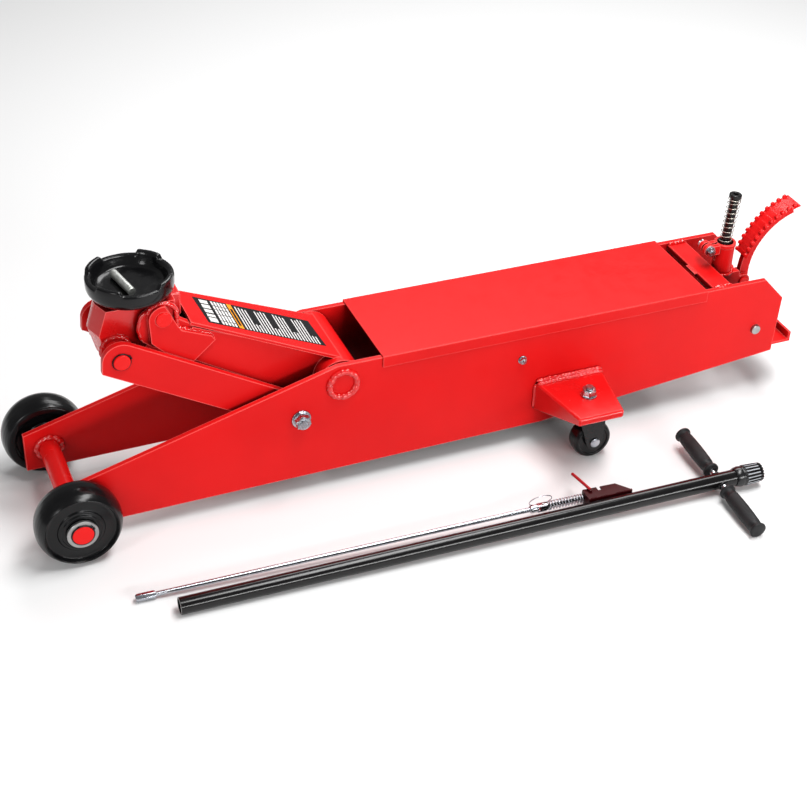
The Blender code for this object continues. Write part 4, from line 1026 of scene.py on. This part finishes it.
def grip(side, out):
    """A moulded grip: a flange at each end, and between them a swelling body with fine ribs along it."""
    start, end = 0.0285, 0.1405
    body_low, body_high = start + 0.0185, end - 0.0145
    profile = [
        (0, end), (0.011, end - 0.0002), (0.0148, end - 0.0009), (0.0153, end - 0.0018),
        (0.0153, end - 0.004), (0.0149, end - 0.005), (0.013, end - 0.0062), (0.0124, end - 0.0078),
        (0.0124, end - 0.0138),
    ]
    steps, rib_count, rib_depth = 26, 40, 0.00034
    for i in range(steps + 1):
        share = i / steps
        swell = 0.0127 + 0.0012 * sin(pi * share) ** 0.8
        profile.append((swell, body_high + (body_low - body_high) * share))
    profile += [
        (0.0122, start + 0.018), (0.0121, start + 0.008), (0.0128, start + 0.0062), (0.0146, start + 0.0052),
        (0.015, start + 0.0042), (0.015, start + 0.0014), (0.0144, start + 0.0004), (0.01, start),
        (0.0063, start), (0.0063, start + 0.01), (0, start + 0.01),
    ]

    def ribs(angle, radius, height):
        inside = min(height - body_low, body_high - height)
        if radius < 0.0125 or inside < -0.0005:
            return radius
        fade = min(1, max(0, inside / 0.0012))
        return radius - rib_depth * fade * (0.5 + 0.5 * cos(angle * rib_count)) ** 2

    name = f"grip_{side}_rubber"
    piece = turned(name, profile, TEE.translation, out, RUBBER, 240, shape_of=ribs)
    piece.data.set_sharp_from_angle(angle=radians(60))
    swap(piece, "grip_" + side)


def bracket():
    dress("lever_bracket", MAROON, 0.0005)
    for i, (start, end) in enumerate(((0.756, 0.768), (0.776, 0.79), (0.806, 0.826))):
        line = [HANDLE @ Vector((x, 0.0162, 0.0132)) for x in (start, end)]
        weld(f"bracket_weld_{i}", line, 0.0014, "handle", 0.0035, i * 2, 0.1, MAROON, "maroon_paint")


def knob():
    """A cone of a skirt, a crown of flutes with a painted highlight strip on each land between them, and a
    plain end.
    """
    along = way_of(HANDLE, (1, 0, 0))
    place = HANDLE @ Vector((1.038, 0, 0))
    profile = [
        (0, 0.0003), (0.0162, 0.0003), (0.0168, 0.001), (0.0188, 0.0085), (0.019, 0.0125), (0.0188, 0.0135),
        (0.0178, 0.0145), (0.0178, 0.0162), (0.0186, 0.0172), (0.019, 0.019), (0.0188, 0.03), (0.0182, 0.042),
        (0.0175, 0.053), (0.0164, 0.0552), (0.012, 0.056), (0.0112, 0.055), (0, 0.0548),
    ]
    flutes = 18

    def fluted(angle, radius, height):
        depth = 0.0026 * min(1, max(0, (height - 0.018) / 0.003))
        if radius < 0.015 or depth <= 0:
            return radius
        phase = (angle * flutes / (2 * pi)) % 1
        return radius - depth * min(1, max(0, (0.27 - abs(phase - 0.5)) / 0.08))

    piece = turned(
        "release_knob_cap", profile, place, along, KNOB, flutes * 20, shape_of=fluted
    )
    piece.data.set_sharp_from_angle(angle=radians(42))
    swap(piece, "release_knob")
    side, up = across(along)
    # Each land gets a pale strip: a painted highlight.
    for number in range(flutes):
        angle = 2 * pi * number / flutes
        out = toward(side, up, angle)
        line = [place + along * (0.0205 + 0.0066 * i) + out * (0.0182 - 0.0003 * i) for i in range(5)]
        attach(swept(f"knob_land_highlight_{number}", line, 0.00145, KNOB_LAND_HIGHLIGHT, 10), "release_knob")


def linkage():
    """Rod with a hexagonal tip, a slotted clevis, a thin pull rod in its spring and a split wire ring."""
    along = way_of(LINKAGE, (1, 0, 0))
    origin = LINKAGE.translation
    tip = -0.8195
    rod = bar("linkage_bar", 0.0043, tip + 0.028, -0.107, origin, along, ZINC, 32)
    profile = [
        (0, tip), (0.005, tip + 0.0002), (0.0068, tip + 0.0022), (0.0072, tip + 0.006), (0.0072, tip + 0.03),
        (0.0066, tip + 0.0335), (0.0046, tip + 0.035), (0, tip + 0.035),
    ]
    key = turned("linkage_tip", profile, origin, along, ZINC, 60, shape_of=hexagonal(0.013, 0.2))
    profile = [
        (0, -0.1105), (0.005, -0.1105), (0.007, -0.1085), (0.0072, -0.1075), (0.0072, -0.096),
        (0.006, -0.094), (0, -0.094),
    ]
    clevis = turned("linkage_clevis", profile, origin, along, ZINC, 48, 0.0004)
    outline = [(-0.096, -0.0052), (-0.08, -0.0052), *arc((-0.08, 0), 0.0052, -80, 80, 9), (-0.096, 0.0052)]
    for number, rise in enumerate((-1, 1)):
        place, up = LINKAGE @ Vector((0, 0, rise * 0.0056)), way_of(LINKAGE, (0, 1, 0))
        cheek = slab(f"clevis_cheek_{number}", outline, 0.0022, place, along, up, ZINC, 0.0004)
        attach(cheek, "linkage_rod")
    profile = [
        (0, -0.0885), (0.0046, -0.0885), (0.0046, -0.08), (0.0056, -0.0785), (0.0058, -0.0752),
        (0.0028, -0.075), (0.0028, 0.0088), (0.0022, 0.0098), (0, 0.0098),
    ]
    pull = turned("pull_rod", profile, origin, along, BLACK_STEEL, 32, 0.0003)
    swap(rod, "linkage_rod")
    for piece in (key, clevis, pull):
        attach(piece, "linkage_rod")
    profile = [(0, 0.0078), (0.0024, 0.0078), (0.0026, 0.0074), (0.0026, -0.0078), (0, -0.0078)]
    place, up = LINKAGE @ Vector((-0.084, 0, 0)), way_of(LINKAGE, (0, 0, 1))
    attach(turned("clevis_pin", profile, place, up, ZINC_DULL, 24), "linkage_rod")
    foot = LINKAGE @ Vector((-0.0742, 0, 0))
    spring = coil("rod_coil", foot, along, 0.0074, 0.00125, 12.5, 0.0665, SPRING_BRIGHT, 1, 32)
    swap(spring, "rod_spring")
    wire_ring()


def wire_ring():
    """The open loop of thin wire that keeps the clevis pin in."""
    points = []
    start, sweep, steps = -62, 318, 45
    for i in range(steps + 1):
        angle = radians(start + sweep * i / steps)
        reach = -0.0895 + 0.0215 * cos(angle)
        rise = 0.015 + 0.014 * sin(angle)
        lean = 0.0015 - 0.0055 * sin(angle)
        points.append(LINKAGE @ Vector((reach, lean, rise)))
    ring = swept("clevis_ring", points, 0.00085, SPRING_BRIGHT, 8)
    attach(ring, "linkage_rod")


def lever():
    place = HANDLE @ Vector((0.764, 0.035, 0.0162))
    points = [
        (0, 0.002, 0), (-0.002, 0.009, 0.0006), (-0.004, 0.016, 0.0015), (-0.0098, 0.032, 0.0043),
        (-0.0155, 0.048, 0.007),
    ]
    step, radius = 0.0012, 0.0028
    line = resampled([place + HANDLE.to_3x3() @ Vector(p) for p in points], step)
    count = len(line)

    def size(i):
        near_end = (count - 1 - i) * step
        return radius if near_end > 0.0026 else radius * sqrt(max(0.04, 1 - (1 - near_end / radius) ** 2))

    finger = swept("lever_finger", line, size, RED_DIP, 20, False, 180)
    profile = [
        (0, 0.0014), (0.0026, 0.0012), (0.0036, 0.0004), (0.0036, -0.002), (0.0026, -0.0022),
        (0.0026, -0.008), (0, -0.008),
    ]
    hub = turned("lever_hub", profile, place, way_of(HANDLE, (0, 0, 1)), MAROON, 40, 0.0003)
    swap(finger, "release_lever")
    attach(hub, "release_lever")


# Build
chassis()
casters()
for wheel_side, wheel_sign in SIDES:
    front_wheel(wheel_side, wheel_sign)
lift_arm()
link_bars()
saddle_bracket()
saddle()
ram()
yoke()
pedal()
handle()


# Studio
def floor():
    shape = bmesh.new()
    half = 14
    corners = ((-half, -half), (half, -half), (half, half), (-half, half))
    shape.faces.new([shape.verts.new((x, y, 0)) for x, y in corners])
    made = Nodes("pale floor")
    tone = made.mixed(made.noise(0.8), (0.8, 0.8, 0.8), (0.78, 0.78, 0.78))
    grain = made.bump(made.noise(40), 0.02, 0.001)
    made.set(Base_Color=tone, Roughness=0.9, Normal=grain, Specular_IOR_Level=0.1)
    finish_piece("floor", shape, made.material)


def soft_box(name, place, target, size, power):
    light = bpy.data.lights.new(name, "AREA")
    light.shape = "RECTANGLE"
    light.size, light.size_y = size
    light.energy = power
    holder = added(name, light)
    holder.location = place
    way = Vector(target) - Vector(place)
    holder.rotation_euler = way.to_track_quat("-Z", "Y").to_euler()


def lights():
    world = bpy.data.worlds.new("studio")
    bpy.context.scene.world = world
    world.use_nodes = True
    back = world.node_tree.nodes["Background"]
    back.inputs["Color"].default_value = (1, 1, 1, 1)
    back.inputs["Strength"].default_value = 0.24
    soft_box("key", at(1.6, -3.1, 1.05), at(0.65, 0, 0.15), (2.4, 0.3), 62)
    soft_box("top", at(1.2, -0.5, 2.8), at(0.6, -0.1, 0.1), (2, 0.8), 80)
    soft_box("rim", at(1.9, 1.7, 2.7), at(0.8, 0, 0.1), (2.4, 1), 60)
    soft_box("front", at(-2, -1.5, 1.5), at(0.1, 0, 0.1), (0.5, 0.8), 16)


def camera():
    yaw, pitch, roll = radians(-23.0904), radians(35.537), radians(1.9013)
    back = Vector((sin(yaw) * cos(pitch), -cos(yaw) * cos(pitch), sin(pitch)))
    level = Z_AXIS.cross(back).normalized()
    upright = back.cross(level)
    right = level * cos(roll) + upright * sin(roll)
    up = upright * cos(roll) - level * sin(roll)
    lens = bpy.data.cameras.new("camera")
    lens.sensor_width = 36
    lens.lens = 73.47
    lens.shift_x, lens.shift_y = 0.0161, 0.0078
    lens.clip_start, lens.clip_end = 0.05, 60
    holder = added("camera", lens)
    facing = Matrix((right, up, back)).transposed().to_4x4()
    holder.matrix_world = Matrix.Translation(at(-0.36016, -2.30473, 1.85419)) @ facing
    bpy.context.scene.camera = holder


floor()
lights()
camera()
bpy.context.scene.view_settings.view_transform = "Standard"

bpy.context.view_layer.update()
